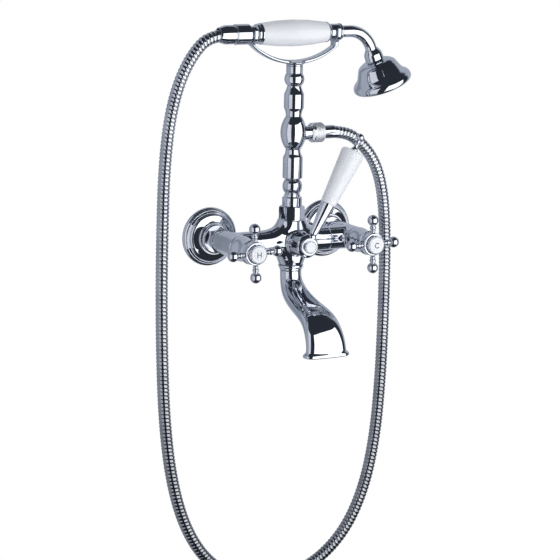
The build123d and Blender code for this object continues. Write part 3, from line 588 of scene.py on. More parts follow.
def hexagon(place, corner_r, turn, start, end, bore, chamfer=1.0):
    """A hexagonal ring. Round its axis the radius is the flat's or, near both ends, the turning
    cone's, whichever is less. It is a grid of angle by height, closed through the bore. The points
    lie close together at the corners, and the normals lean out a little, as on a worn flat."""
    inner = corner_r - CONE_RISE * chamfer
    offsets = np.concatenate([np.linspace(0, 2.4, 5), np.linspace(4, 56, 22), np.linspace(57.6, 59.9, 5)])
    angle = np.radians(np.concatenate([offsets + 60 * k for k in range(6)]))
    within = (np.degrees(angle) % 60) - 30
    flats = corner_r * math.cos(math.pi / 6) / np.cos(np.radians(within))
    edge = np.linspace(0, chamfer * 1.15, 12)
    heights = np.concatenate([start + edge, np.linspace(start, end, 7)[1:-1], (end - edge)[::-1]])
    cones = inner + CONE_RISE * np.minimum(heights - start, end - heights)
    bored = np.full_like(angle, bore)
    face = np.minimum(flats, inner) * (1 - FACE_EDGE) + FACE_EDGE * bore
    rows = np.stack([bored, face, *np.minimum(flats[None], cones[:, None]), face, bored])
    around = circle(angle + math.radians(turn))
    local = raised(rows[..., None] * around, [start, start, *heights, end, end])
    crown = np.concatenate([around, np.zeros((len(angle), 1))], -1) * FLAT_CROWN
    return lattice(place.put(local), place.turn(square_to(local) + crown), True)


NUT_SKIRT = [
    (13.25, 11.0), (16.6, 11.0), (16.9, 11.6), (16.9, 18.4), (16.5, 20.0, "arc"), (15.2, 20.8),
    (10.5, 20.8), (10.5, 19.05), (13.25, 19.05),
]
forged = metal("forged_chrome", CHROME_DARK, CHROME_BRIGHT, (0.03, 0.09), 0.00004, 0.009)
NUT_TURNS = {"hot": 15.0, "cold": 8.0}
for side, place in SIDES:
    nut = hexagon(place, corner_r=14.8, turn=NUT_TURNS[side], start=20.4, end=28.2, bore=10.5)
    skins = [turned(place, NUT_SKIRT, 0.3), nut]
    piece(f"{side}_union_nut_forged", skins, forged, "mixer", "chrome", f"{side}_union_nut")


# Wall unions: bare brass tails, turned from bar. The thread that screws into the wall is cut, with
# a true helix, and the collar takes the washer and the union nut.

THREAD_ROWS, THREAD_FLANK, THREAD_RUN_OUT = 12, 1.3, 0.8


def threaded(place, crest, depth, pitch, start, end, bore):
    """A tube with a screw thread. The radius falls and rises once as height less angle passes each
    pitch, by the flank's power of the distance from the crest, and runs out at both ends."""
    angle = np.linspace(0, 2 * math.pi, 96, endpoint=False)
    heights = np.linspace(start, end, int((end - start) / pitch * THREAD_ROWS))
    phase = (heights[:, None] / pitch - angle[None] / (2 * math.pi)) % 1
    fade = np.clip(np.minimum(heights - start, end - heights) / pitch, 0, 1)[:, None]
    radius = crest - depth * (np.abs(phase * 2 - 1) ** THREAD_FLANK * fade + THREAD_RUN_OUT * (1 - fade))
    bored = np.full_like(angle, bore)
    rows = np.stack([bored, *radius, bored])
    local = raised(rows[..., None] * circle(angle), [start, *heights, end])
    return lattice(place.put(local), place.turn(square_to(local)), True)


UNION_BODY = [
    (7.5, -0.6), (10.3, -0.6), (10.3, 0.5), (12.4, 0.5), (12.4, 4.5), (13.2, 5.2), (13.2, 14.7),
    (12.6, 15.5), (7.5, 15.5),
]
brass = metal("turned_brass", (0.66, 0.48, 0.22), (0.80, 0.62, 0.32), (0.22, 0.40), 0.00003, 0.004)
for side, place in SIDES:
    tail = threaded(place, crest=10.48, depth=1.1, pitch=1.81, start=-20.0, end=0.2, bore=7.5)
    skins = [turned(place, UNION_BODY), tail]
    piece(f"{side}_union_cut", skins, brass, "mixer", "brass", f"{side}_wall_union")


# Mixer body: one brass casting, polished and chromed. Two barrels, the bridge between them and a
# centre with concave shoulders. The parts flow into each other with the casting's small fillets.

PAST_AXIS = 5.0


def outline_field(points, place, outline):
    """Signed distance in millimetres to a turned solid, from its outline in the plane of radius and
    height: the least distance to an edge, negative where a level line crosses an odd number of edges."""
    offset = points - place.origin
    height = offset @ place.z
    radius = np.linalg.norm(offset - height[:, None] * place.z, axis=1)
    spots, _, closed = traced(outline, 0.3, 20.0)
    if not closed:
        spots = np.concatenate([spots, [[-PAST_AXIS, spots[-1][1]], [-PAST_AXIS, spots[0][1]]]])
    least = np.full(len(points), np.inf)
    odd = np.zeros(len(points), bool)
    for (ar, ah), (br, bh) in zip(spots, np.roll(spots, -1, axis=0)):
        er, eh = br - ar, bh - ah
        dr, dh = radius - ar, height - ah
        share = np.clip((dr * er + dh * eh) / max(er * er + eh * eh, 1e-12), 0, 1)
        least = np.minimum(least, (dr - er * share) ** 2 + (dh - eh * share) ** 2)
        if eh:
            odd ^= ((ah > height) != (bh > height)) & (radius < er * (height - ah) / eh + ar)
    return np.sqrt(least) * np.where(odd, -1, 1)


def melt(first, second, fillet):
    """The union of two fields, with a fillet of about that size where they meet."""
    near = np.maximum(fillet - np.abs(first - second), 0) / fillet
    return np.minimum(first, second) - near * near * fillet / 4


def slopes_of(field, points, reach=0.03):
    """The field's gradient, by differences over a short reach each way."""
    steps = np.eye(3) * reach
    return np.stack([field(points + s) - field(points - s) for s in steps], -1) / (2 * reach)


EVENED = 0.6


def moulded(field, low, high, step):
    """The skin on which a field is zero. Each grid cell that the skin passes has one point, pulled
    onto the skin along the gradient, and each grid edge that crosses it has one face round it. The
    points are then evened out: each goes most of the way to its neighbours' mean, and back."""
    axes = [np.arange(a, b + step, step) for a, b in zip(low, high)]
    shape = tuple(len(a) for a in axes)
    grid = np.stack(np.meshgrid(*axes, indexing="ij"), -1).reshape(-1, 3)
    solid = (field(grid) < 0).reshape(shape)
    cells = tuple(n - 1 for n in shape)
    filled = sum(
        solid[i:i + cells[0], j:j + cells[1], k:k + cells[2]].astype(int)
        for i in (0, 1) for j in (0, 1) for k in (0, 1)
    )
    active = (filled > 0) & (filled < 8)
    ids = np.full(cells, -1)
    ids[active] = np.arange(active.sum())
    points = np.stack(np.nonzero(active), -1) * step + np.array(low) + step / 2
    quads = []
    for axis in range(3):
        a, b = (axis + 1) % 3, (axis + 2) % 3
        here = np.moveaxis(solid, (axis, a, b), (0, 1, 2))
        numbers = np.moveaxis(ids, (axis, a, b), (0, 1, 2))
        crossing = here[:-1, 1:-1, 1:-1] != here[1:, 1:-1, 1:-1]
        i, j, k = np.nonzero(crossing)
        j, k = j + 1, k + 1
        round_edge = ((j - 1, k - 1), (j, k - 1), (j, k), (j - 1, k))
        quad = np.stack([numbers[i, p, q] for p, q in round_edge], -1)
        outwards = here[i, j, k]
        quads.append(np.where(outwards[:, None], quad, quad[:, ::-1]))
    quads = np.concatenate(quads)

    def pull(points, rounds):
        for _ in range(rounds):
            slope = slopes_of(field, points)
            length = np.maximum((slope * slope).sum(1), 0.05)
            points = points - np.clip(field(points) / length, -step, step)[:, None] * slope
        return points

    points = pull(points, 4)
    for _ in range(3):
        total, count = np.zeros_like(points), np.zeros(len(points))
        for corner in range(4):
            np.add.at(total, quads[:, corner], points[quads].sum(1))
            np.add.at(count, quads[:, corner], 4)
        points = pull(points * (1 - EVENED) + EVENED * total / count[:, None], 2)
    return points * MM, slopes_of(field, points), quads, np.zeros((0, 3), int)


COLUMN = Place((0, -COLUMN_OUT, 0), (0, 0, 1), (1, 0, 0))
ACROSS = Place((0, -COLUMN_OUT, 0), (1, 0, 0), (0, 1, 0))
DIVERTER = outward(0)
BRIDGE_R = 13.7
BARREL = [
    (0, 17.1), (12.9, 17.1), (12.9, 19.0), (10.3, 19.0), (10.3, 28.8), (12.0, 28.8), (13.3, 30.4, "arc"),
    (13.7, 34.0), (13.7, 78.9), (13.1, 79.5), (0, 79.5),
]
CENTRE = [
    (0, -30.0), (12.5, -30.0), (12.5, -26.5), (13.9, -26.5), (15.3, -21.5, "arc"), (15.7, -14.0),
    (15.7, 6.0), (14.6, 24.5), (0, 24.5),
]
BOSS = [(0, 55.0), (14.6, 55.0), (14.6, 74.4), (13.7, 79.0), (0, 79.0)]
BRIDGE = [(0, -INLET_OUT), (BRIDGE_R, -INLET_OUT), (BRIDGE_R, INLET_OUT), (0, INLET_OUT)]
SHOULDER_FOOT, SHOULDER_TOP, SHOULDER_SWEEP, SHOULDER_TUCK = 40.0, 12.0, 51.0, 5
CAST_FILLET, CENTRE_FILLET, SHOULDER_FILLET = 2.2, 11.0, 1.0


def body_field(points):
    """The casting: each turned part, and shoulders whose upright sections are ellipses that grow
    from the bridge's circle up a concave arc."""
    reach = np.clip(SHOULDER_FOOT - np.abs(points[:, 0]), 0, SHOULDER_FOOT - SHOULDER_TOP)
    top = BRIDGE_R + SHOULDER_SWEEP - np.sqrt(SHOULDER_SWEEP**2 - reach**2)
    middle, half = (top - BRIDGE_R) / 2, (top + BRIDGE_R) / 2
    ellipse = np.hypot((points[:, 1] + COLUMN_OUT) / BRIDGE_R, (points[:, 2] - middle) / half)
    shoulders = np.maximum((ellipse - 1) * BRIDGE_R, np.abs(points[:, 0]) - SHOULDER_FOOT - SHOULDER_TUCK)
    whole = melt(outline_field(points, ACROSS, BRIDGE), shoulders, SHOULDER_FILLET)
    whole = melt(whole, outline_field(points, COLUMN, CENTRE), CENTRE_FILLET)
    whole = melt(whole, outline_field(points, DIVERTER, BOSS), CAST_FILLET)
    for side in (LEFT, RIGHT):
        whole = melt(whole, outline_field(points, side, BARREL), CAST_FILLET)
    return whole


cast = metal("cast_chrome", CHROME_DARK, CHROME_BRIGHT, (0.02, 0.08), 0.00006, 0.016)
body_skin = moulded(body_field, low=(-91, -82, -32), high=(91, -15, 27), step=1.0)
piece("mixer_body_cast", [body_skin], cast, "mixer", "chrome", "mixer_body")


# Bonnets: the two bells that screw down over the valves and hide them, turned from brass bar and
# chromed. Each flares from a narrow neck at the handle to the barrel's own width.

def lathe(node, place, outline, ease=0.2, body="mixer", around=96):
    """A piece turned from bar and chromed, in place of the CAD node of that name."""
    piece(f"{node}_turned", [turned(place, outline, ease, around)], spun, body, "chrome", node)


BONNET = [
    (12.6, 79.9), (13.7, 79.9), (14.3, 83.6, "arc"), (14.2, 87.0), (13.6, 90.0), (12.6, 94.5, "arc"),
    (12.3, 101.5), (10.6, 101.5), (10.6, 88.0), (8.6, 88.0), (8.6, 84.6), (12.6, 84.6),
]
for side, place in SIDES:
    lathe(f"{side}_bonnet", place, BONNET)


# Cross handles: cast in brass and chromed. A drum hub has four arms, each with two beads and a ball.
# Each is fixed on its valve's spindle by a screw under the index button.
ARM_OUT, ARM_REACH, ARM_BALL_R, ARM_NECK_R = 115.6, 27.3, 6.3, 2.6
HUB = [
    (4.6, 102.2), (12.3, 102.2), (13.6, 104.2, "arc"), (13.9, 106.6), (13.7, 107.6), (12.6, 110.2, "arc"),
    (12.4, 113.6), (12.5, 116.0), (13.0, 117.0), (13.0, 118.2), (12.4, 118.8), (11.0, 119.0),
    (10.9, 122.4), (10.5, 124.0, "arc"), (9.6, 124.5), (9.15, 124.2), (9.15, 120.8), (4.2, 120.8),
    (4.2, 116.2), (2.2, 116.2), (2.2, 112.0), (4.6, 112.0),
]
neck_end = ARM_REACH - math.sqrt(ARM_BALL_R**2 - ARM_NECK_R**2)
ARM = [
    (0, 10.5), (3.6, 10.5), (3.4, 12.2), (2.6, 13.2, "arc"), (2.2, 14.2), (3.2, 15.6, "arc"), (2.3, 17.0),
    (3.7, 18.9, "arc"), (ARM_NECK_R, 20.8), (ARM_NECK_R, neck_end), (ARM_BALL_R, ARM_REACH, "arc"),
    (0, ARM_REACH + ARM_BALL_R),
]
HANDLE_TURNS = {"hot": 2.5, "cold": 1.2}
for side, place in SIDES:
    skins = [turned(place, HUB, 0.2)]
    for quarter in range(4):
        angle = math.radians(HANDLE_TURNS[side] + 90 * quarter)
        along = place.x * math.cos(angle) + place.y * math.sin(angle)
        arm = Place(place.origin + place.z * ARM_OUT, along, place.z)
        skins.append(turned(arm, ARM, 0.15, 64))
    piece(f"{side}_handle_cast", skins, cast, f"{side}_handle", "chrome", f"{side}_cross_handle")


# Index buttons: glazed porcelain domes cemented in the handles' cups. A plain letter for hot or
# cold and a thin ring are fired on in dark grey.
LETTER_REACH, LETTER_HALF, POST_AT, STROKE, BAR, BLUR = 1000.0, 3.2, 2.1, 0.5, 0.42, 0.1
BOW_R, GAP_FROM, GAP_HALF = 2.75, 1.1, 1.4
RING_R, RING_HALF, RING_SOFT = 5.6, 0.15, 0.3
INK = (0.05, 0.055, 0.07)


def porcelain(name, letter=None, centre=(0.0, 0.0)):
    """Glazed white porcelain: a cool white body that drifts a little in tone, under a clear glaze
    with a slow ripple and dull fine pinholes. A letter, where there is one, is fired on. It is drawn
    in millimetres from its centre: an H is two posts and a bar, and a C is a ring with a gap."""
    material, shader, place = fresh(name)
    colour = place.noise(0.035, 2).ramp(0.3, 0.7).mix((0.78, 0.80, 0.84), (0.83, 0.85, 0.88))
    if letter:
        def within(wire, edge):
            return wire.maths("ABSOLUTE").ramp(edge, edge + BLUR, 1.0, 0.0)

        across = place.dot((LETTER_REACH, 0, 0)) - centre[0]
        up = place.dot((0, 0, LETTER_REACH)) - centre[1]
        out = (across * across + up * up).maths("SQRT")
        if letter == "H":
            posts = within(across.maths("ABSOLUTE") - POST_AT, STROKE)
            bar = within(up, BAR) * within(across, POST_AT)
            mark = posts.maths("MAXIMUM", bar) * within(up, LETTER_HALF)
        else:
            gap = (across - GAP_FROM).ramp(0.0, BLUR) * within(up, GAP_HALF)
            mark = within(out - BOW_R, STROKE) * (1.0 - gap)
        line = (out - RING_R).maths("ABSOLUTE").ramp(RING_HALF, RING_SOFT, 0.3, 0.0)
        colour = mark.maths("MAXIMUM", line).mix(colour, INK)
    colour.feed(shader, "Base Color")
    pinholes = place.noise(0.0009, 1).ramp(0.68, 0.74, 0.0, 0.12)
    gloss = place.noise(0.010, 4).ramp(0.35, 0.75, 0.06, 0.13) + pinholes
    gloss.feed(shader, "Roughness")
    place.noise(0.014, 1).relief(0.00005).feed(shader, "Normal")
    shader.inputs["Coat Weight"].default_value = 0.2
    shader.inputs["Specular IOR Level"].default_value = 0.25
    shader.inputs["Coat Roughness"].default_value = 0.03
    return material


def dome(radius, edge, top):
    """The middle of a shallow dome's arc, from its edge up to its top on the axis."""
    rise = top - edge
    ball = (radius**2 + rise**2) / (2 * rise)
    half = math.asin(radius / ball) / 2
    return (ball * math.sin(half), top - ball * (1 - math.cos(half)), "arc")


BUTTON = [
    (0, 120.85), (9.05, 120.85), (9.05, 124.1), (8.8, 125.0, "arc"), (8.2, 125.3), dome(8.2, 125.3, 125.9),
    (0, 125.9),
]
for side, place in SIDES:
    glazed = porcelain(f"{side}_button_glaze", side[0].upper(), (place.origin[0], 0.0))
    skins = [turned(place, BUTTON, 0.2)]
    piece(f"{side}_button_glazed", skins, glazed, f"{side}_handle", "porcelain", f"{side}_index_button")


# Diverter: a turned brass gland screwed on the body, then the lever's hub, which turns on it. Both
# are chromed, and a small porcelain button hides the hub's screw.
GLAND = [
    (4.6, 62.0), (10.4, 62.0), (10.4, 79.1), (13.3, 79.1), (13.6, 79.6), (13.6, 83.8), (13.2, 84.4),
    (5.7, 84.4), (5.7, 78.0), (4.6, 78.0),
]
lathe("diverter_gland", DIVERTER, GLAND)
LEVER_OUT, LEVER_LEAN = 98.0, math.radians(28.6)
LEVER = Place((0, -LEVER_OUT, 0), (math.sin(LEVER_LEAN), 0, math.cos(LEVER_LEAN)), (0, -1, 0))
LEVER_HUB = [
    (4.6, 84.9), (13.3, 84.9), (13.6, 85.4), (13.6, 98.4), (13.0, 99.8, "arc"), (12.2, 100.6),
    (10.3, 102.0), (10.2, 103.2), (9.7, 104.0), (7.5, 104.0), (7.4, 106.0), (7.1, 107.0, "arc"),
    (6.6, 107.2), (6.25, 107.0), (6.25, 103.0), (4.2, 103.0), (4.2, 100.4), (2.2, 100.4), (2.2, 95.0),
    (4.6, 95.0),
]
KNUCKLE = [(0, 9.0), (4.6, 9.0), (5.3, 11.6, "arc"), (4.4, 14.2), (0, 14.2)]
skins = [turned(DIVERTER, LEVER_HUB, 0.25), turned(LEVER, KNUCKLE, 0.2, 64)]
piece("lever_hub_turned", skins, spun, "diverter_lever", "chrome", "lever_hub")
LEVER_BUTTON = [
    (0, 103.05), (6.15, 103.05), (6.15, 106.9), (6.0, 107.3, "arc"), (5.6, 107.5), dome(5.6, 107.5, 107.9),
    (0, 107.9),
]
glaze = porcelain("glazed_porcelain")
skins = [turned(DIVERTER, LEVER_BUTTON, 0.2)]
piece("lever_button_glazed", skins, glaze, "diverter_lever", "porcelain", "lever_button")


# Lever: a tapered chromed stem with a rod, a glazed porcelain cone threaded over the rod, and a
# small turned finial that screws on the rod's end and holds the cone.
STEM = [
    (0, 9.5), (3.1, 9.5), (3.1, 14.3), (4.2, 14.3), (4.6, 15.4), (6.5, 35.0), (8.4, 51.6), (8.4, 52.8),
    (2.5, 52.8), (2.5, 118.0), (0, 118.0),
]
GRIP = [
    (2.6, 52.9), (8.4, 52.9), (8.9, 53.6), (13.4, 114.5), (12.7, 118.0, "arc"), (9.8, 119.6), (3.6, 120.2),
    (2.6, 120.2),
]
FINIAL_BALL_R, FINIAL_REACH, FINIAL_NECK_R = 4.5, 136.3, 2.3
finial_neck = FINIAL_REACH - math.sqrt(FINIAL_BALL_R**2 - FINIAL_NECK_R**2)
FINIAL = [
    (0, 118.1), (2.5, 118.1), (2.5, 120.3), (4.4, 120.3), (4.3, 121.4), (2.7, 124.0, "arc"),
    (2.5, 127.4), (3.3, 128.6, "arc"), (2.4, 129.8), (FINIAL_NECK_R, finial_neck),
    (FINIAL_BALL_R, FINIAL_REACH, "arc"), (0, FINIAL_REACH + FINIAL_BALL_R),
]
lathe("lever_stem", LEVER, STEM, 0.2, "diverter_lever")
piece("lever_grip_glazed", [turned(LEVER, GRIP, 0.5)], glaze, "diverter_lever", "porcelain", "lever_grip")
lathe("lever_finial", LEVER, FINIAL, 0.15, "diverter_lever")


# Column: a forged hexagonal nut on the body, then two brass lengths turned with rings, balls and
# flared cylinders. All are chromed, and screw together with the hose outlet between the lengths.
COLUMN_STEM = [
    (5.5, 33.9), (9.9, 33.9), (9.9, 36.0), (8.1, 36.0), (8.1, 40.2), (10.9, 40.2), (11.3, 40.7),
    (11.3, 49.9), (10.6, 50.6), (9.1, 51.4), (9.1, 53.6), (8.0, 54.6), (11.2, 62.4, "arc"), (7.9, 70.9),
    (8.2, 71.6), (10.6, 71.9), (11.3, 72.8), (11.3, 95.4), (10.8, 96.8), (9.0, 100.4, "arc"), (8.5, 104.9),
    (7.0, 104.9), (7.0, 112.0), (5.5, 112.0),
]
COLUMN_TOP = [
    (0, 134.1), (6.0, 134.1), (6.0, 142.4), (8.8, 142.4), (9.4, 147.0, "arc"), (11.3, 152.0),
    (11.3, 167.4), (9.5, 171.4, "arc"), (7.8, 176.6), (11.3, 184.1, "arc"), (9.0, 190.9), (9.4, 191.4),
    (9.4, 199.0), (6.0, 199.0), (6.0, 203.4), (0, 203.4),
]
nut = hexagon(COLUMN, corner_r=14.75, turn=38.5, start=24.8, end=40.0, bore=8.2, chamfer=0.9)
piece("column_nut_forged", [nut], forged, "mixer", "chrome", "column_nut")
lathe("column_stem", COLUMN, COLUMN_STEM, around=128)
lathe("column_top", COLUMN, COLUMN_TOP, around=128)


# Hose outlet: an egg-shaped brass casting in the column, chromed, with a threaded spigot. The hose's
# knurled nut screws on it, and the hose is crimped in a plain drawn sleeve.
OUTLET = Place((0, -COLUMN_OUT, 122.5), (1, 0, 0), (0, 1, 0))
EGG = [(0, 105.1), (8.5, 105.1), (14.7, 123.6, "arc"), (8.9, 142.3), (0, 142.3)]
SPIGOT = [(0, 8.0), (7.9, 8.0), (7.9, 21.4), (8.3, 21.8), (8.3, 29.0), (0, 29.0)]
skins = [turned(COLUMN, EGG, 0.2, 128), turned(OUTLET, SPIGOT, 0.2)]
piece("hose_outlet_cast", skins, cast, "mixer", "chrome", "hose_outlet")
OUTLET_NUT = [
    (8.35, 21.0), (9.0, 21.0), (11.2, 23.0), (11.2, 24.3), (11.2, 25.0), (11.3, 35.0), (11.3, 35.6),
    (10.4, 36.9), (7.8, 36.9), (7.8, 32.6), (8.35, 32.6),
]
KNURL_FROM, KNURL_TO, KNURL_DEPTH, KNURLS, KNURL_LEAST_R = 24.6, 35.3, 0.09, 72, 11
SATIN_FROM, SATIN_TO, SATIN = 25.0, 35.0, 0.52
SLEEVE = [
    (5.2, 31.0), (8.2, 31.0), (8.2, 32.5), (7.5, 32.5), (7.5, 51.4), (7.1, 51.9), (7.1, 40.9), (5.2, 40.9),
]


def knurled(place, outline, ease=0.25, around=8 * KNURLS):
    """A turned skin with straight flutes in its outer face, between two heights. At angle t a flute
    takes depth * (1 - cos(count * t)) / 2 off the radius, and the normal leans with it."""
    spots, slopes, closed = traced(outline, ease)
    band = (spots[:, 1] > KNURL_FROM) & (spots[:, 1] < KNURL_TO) & (spots[:, 0] > KNURL_LEAST_R)
    angle = np.linspace(0, 2 * math.pi, around, endpoint=False)
    dip = KNURL_DEPTH * band[:, None] * (1 - np.cos(KNURLS * angle)) / 2
    lean = KNURL_DEPTH * band[:, None] * KNURLS * np.sin(KNURLS * angle) / (2 * spots[:, :1])
    ring, side = circle(angle), np.stack([-np.sin(angle), np.cos(angle)], -1)
    points = raised((spots[:, :1] - dip)[..., None] * ring, spots[:, 1])
    flat = slopes[:, None, :1] * ring + (slopes[:, :1] * lean)[..., None] * side
    return lattice(place.put(points), place.turn(raised(flat, slopes[:, 1])), closed)


satin = metal("knurled_chrome", (0.86, 0.88, 0.91), (0.93, 0.94, 0.96), (0.03, 0.08), 0.00002, 0.02)
satin_tree = satin.node_tree
satin_shader = satin_tree.nodes["Principled BSDF"]
along = place_on(satin_tree).dot((1, 0, 0))
rubbed = along.ramp(KNURL_FROM * MM, SATIN_FROM * MM) * along.ramp(SATIN_TO * MM, KNURL_TO * MM, 1.0, 0.0)
gloss = Wire(satin_tree, satin_shader.inputs["Roughness"].links[0].from_socket) + rubbed * SATIN
gloss.feed(satin_shader, "Roughness")
piece("outlet_nut_turned", [knurled(OUTLET, OUTLET_NUT)], satin, "mixer", "chrome", "outlet_nut")
piece("hose_sleeve_drawn", [turned(OUTLET, SLEEVE, 0.15)], spun, "mixer", "chrome", "hose_sleeve")


# Cradle: a brass crescent cast with its round boss, which screws on the column's top, and chromed.
# An open fork at each end takes the hand shower's necks, and the right one stands on a small foot.
HANDSET_Z, FORK_LEFT, FORK_RIGHT = 235.9, -54.5, 50.6
CRADLE_HALF_DEPTH, CRADLE_FILLET = 6.0, 1.5
CRESCENT_LOW, CRESCENT_HIGH, CRESCENT_RIM, CRESCENT_ROUND = (283.175, 82.175), (290.35, 84.75), 0.9, 2.8
END_LEFT, END_RIGHT, END_SLANT, END_EASE = (56.0, 225.0), (52.1, 221.7), (0.93, 0.38), 0.6
FOOT_HEIGHT, FOOT_HALF_HEIGHT, FOOT_EASE, FOOT_ROUND = 222.9, 2.5, 1.0, 1.6
FORK_HALF_WIDTH, FORK_OUTER_R, FORK_INNER_R, FORK_RISE, FORK_EASE = 2.2, 12.3, 9.3, 5.0, 1.0
CRADLE_BOSS = [
    (0, 199.1), (9.4, 199.1), (9.6, 200.6, "arc"), (11.4, 202.2), (11.0, 203.6), (0, 203.6),
]


def disc(x, z, height, radius):
    """The field of a disc on edge, centred over the column at a height."""
    return np.hypot(x, z - height) - radius


def both(first, second, ease):
    """Where two fields overlap, with the edge that they make eased by about that size."""
    return -melt(-first, -second, ease)


def cradle_field(points):
    """The crescent lies between two upright circles, ends on two slants and is 12 mm deep. Each fork
    is a U round the handset's axis, open at the top. Edges are eased, and the parts meet in small
    fillets."""
    x, depth, z = points[:, 0], np.abs(points[:, 1] + COLUMN_OUT), points[:, 2]
    slab = depth - CRADLE_HALF_DEPTH
    crescent = both(disc(x, z, *CRESCENT_LOW), -disc(x, z, *CRESCENT_HIGH), CRESCENT_RIM)
    end_x, end_z = (np.where(x > 0, right, left) for right, left in zip(END_RIGHT, END_LEFT))
    ends = (np.abs(x) - end_x) * END_SLANT[0] + (z - end_z) * END_SLANT[1]
    crescent = both(both(crescent, ends, END_EASE), slab, CRESCENT_ROUND)
    whole = melt(crescent, outline_field(points, COLUMN, CRADLE_BOSS), CRADLE_FILLET)
    foot_side, foot_height = np.abs(x - FORK_RIGHT), np.abs(z - FOOT_HEIGHT)
    foot = both(foot_side - FORK_HALF_WIDTH, foot_height - FOOT_HALF_HEIGHT, FOOT_EASE)
    whole = melt(whole, both(foot, slab, FOOT_ROUND), CRADLE_FILLET)
    across, lift = np.abs(x - np.where(x > 0, FORK_RIGHT, FORK_LEFT)), z - HANDSET_Z
    radial = np.hypot(depth, lift)
    prong = np.where(lift > 0, depth, radial)
    fork = both(prong - FORK_OUTER_R, FORK_INNER_R - prong, FORK_EASE)
    fork = both(fork, both(across - FORK_HALF_WIDTH, lift - FORK_RISE, FORK_EASE), FORK_EASE)
    return np.maximum(melt(whole, fork, CRADLE_FILLET), FORK_INNER_R - radial)


cradle_skin = moulded(cradle_field, low=(-60, -74, 197), high=(60, -46, 243), step=0.8)
piece("cradle_cast", [cradle_skin], cast, "mixer", "chrome", "cradle")


# Hose end at the hand shower: a tapered brass cone crimped on the hose, and the swivel nut that it
# turns in. Both are turned and chromed, and the nut screws on the hand shower's rear ferrule.
HANDSET = Place((0, -COLUMN_OUT, HANDSET_Z), (1, 0, 0), (0, 1, 0))
CONE = [
    (7.3, -96.0), (8.2, -96.0), (10.5, -88.6), (10.6, -88.0), (10.6, -79.0), (9.9, -78.6), (9.9, -77.6),
    (10.7, -77.2), (10.7, -76.5), (6.23, -76.5), (6.23, -73.9), (8.1, -73.9), (8.1, -70.5), (4.2, -70.5),
    (4.2, -80.4), (7.3, -80.4),
]
SWIVEL_NUT = [
    (8.17, -74.2), (6.3, -74.2), (6.3, -76.3), (10.9, -76.3), (11.4, -75.7), (11.4, -59.3), (10.7, -58.5),
    (6.55, -58.5), (6.55, -70.4), (8.17, -70.4),
]
lathe("hose_cone", HANDSET, CONE, body="hose_cone")
lathe("swivel_nut", HANDSET, SWIVEL_NUT, body="hand_shower")


# Hand shower's handle: a glazed porcelain barrel on the brass tube, held between two ferrules that
# are turned from brass bar and chromed.
REAR_FERRULE = [
    (4.5, -69.0), (6.5, -69.0), (6.5, -58.4), (9.0, -58.4), (9.0, -51.8), (9.7, -51.0),
    (10.9, -49.7, "arc"), (11.2, -48.0), (10.9, -47.3), (11.9, -45.3), (12.1, -44.1), (6.7, -44.1),
    (6.7, -52.0), (4.5, -52.0),
]
FRONT_FERRULE = [
    (6.7, 41.5), (8.7, 41.5), (11.1, 39.0), (11.6, 39.3), (11.4, 40.2), (9.4, 42.4), (9.0, 43.2),
    (9.0, 53.8), (8.0, 54.3), (9.5, 56.6, "arc"), (8.2, 58.4), (7.4, 59.0), (6.7, 59.0),
]
HANDSET_GRIP = [
    (6.8, -44.0), (11.7, -44.0), (12.0, -43.6), (14.9, -2.0, "arc"), (11.5, 37.6), (11.3, 38.5),
    (11.1, 38.85), (8.65, 41.4), (6.8, 41.4),
]
lathe("rear_ferrule", HANDSET, REAR_FERRULE, body="hand_shower")
lathe("front_ferrule", HANDSET, FRONT_FERRULE, body="hand_shower")
grip_skin = turned(HANDSET, HANDSET_GRIP, 0.4, 128)
piece("handset_grip_glazed", [grip_skin], glaze, "hand_shower", "porcelain", "handset_grip")


# Gooseneck: a brass tube, drawn, bent and chromed. It runs from the rear ferrule through the grip
# and bends down to the head.
GOOSENECK_R, BEND_R, BEND_X, BEND_TURN, NECK_DROP = 6.65, 30.0, 70.2, math.radians(67.5), 8.95
TUBE_START, NECK_STEPS = -51.9, (3.0, 6.0, 9.35)
bend = np.linspace(0, BEND_TURN, 40)
tube_line = np.concatenate([
    np.stack([np.linspace(TUBE_START, BEND_X, 24)[:-1], np.full(23, HANDSET_Z)], -1),
    np.stack([BEND_X + BEND_R * np.sin(bend), HANDSET_Z - BEND_R * (1 - np.cos(bend))], -1),
])
neck_way = np.array([math.cos(BEND_TURN), -math.sin(BEND_TURN)])
head_at = tube_line[-1] + neck_way * NECK_DROP
tube_line = np.concatenate([tube_line, [tube_line[-1] + neck_way * s for s in NECK_STEPS]])
tube_path = np.stack([tube_line[:, 0], np.full(len(tube_line), -COLUMN_OUT), tube_line[:, 1]], -1) * MM
drawn = metal("drawn_chrome", CHROME_DARK, CHROME_BRIGHT, (0.02, 0.07), 0.00003, 0.012)
tube_skin = swept(tube_path, np.full(len(tube_path), GOOSENECK_R * MM), 72)
piece("handset_tube_bent", [tube_skin], drawn, "hand_shower", "chrome", "handset_tube")


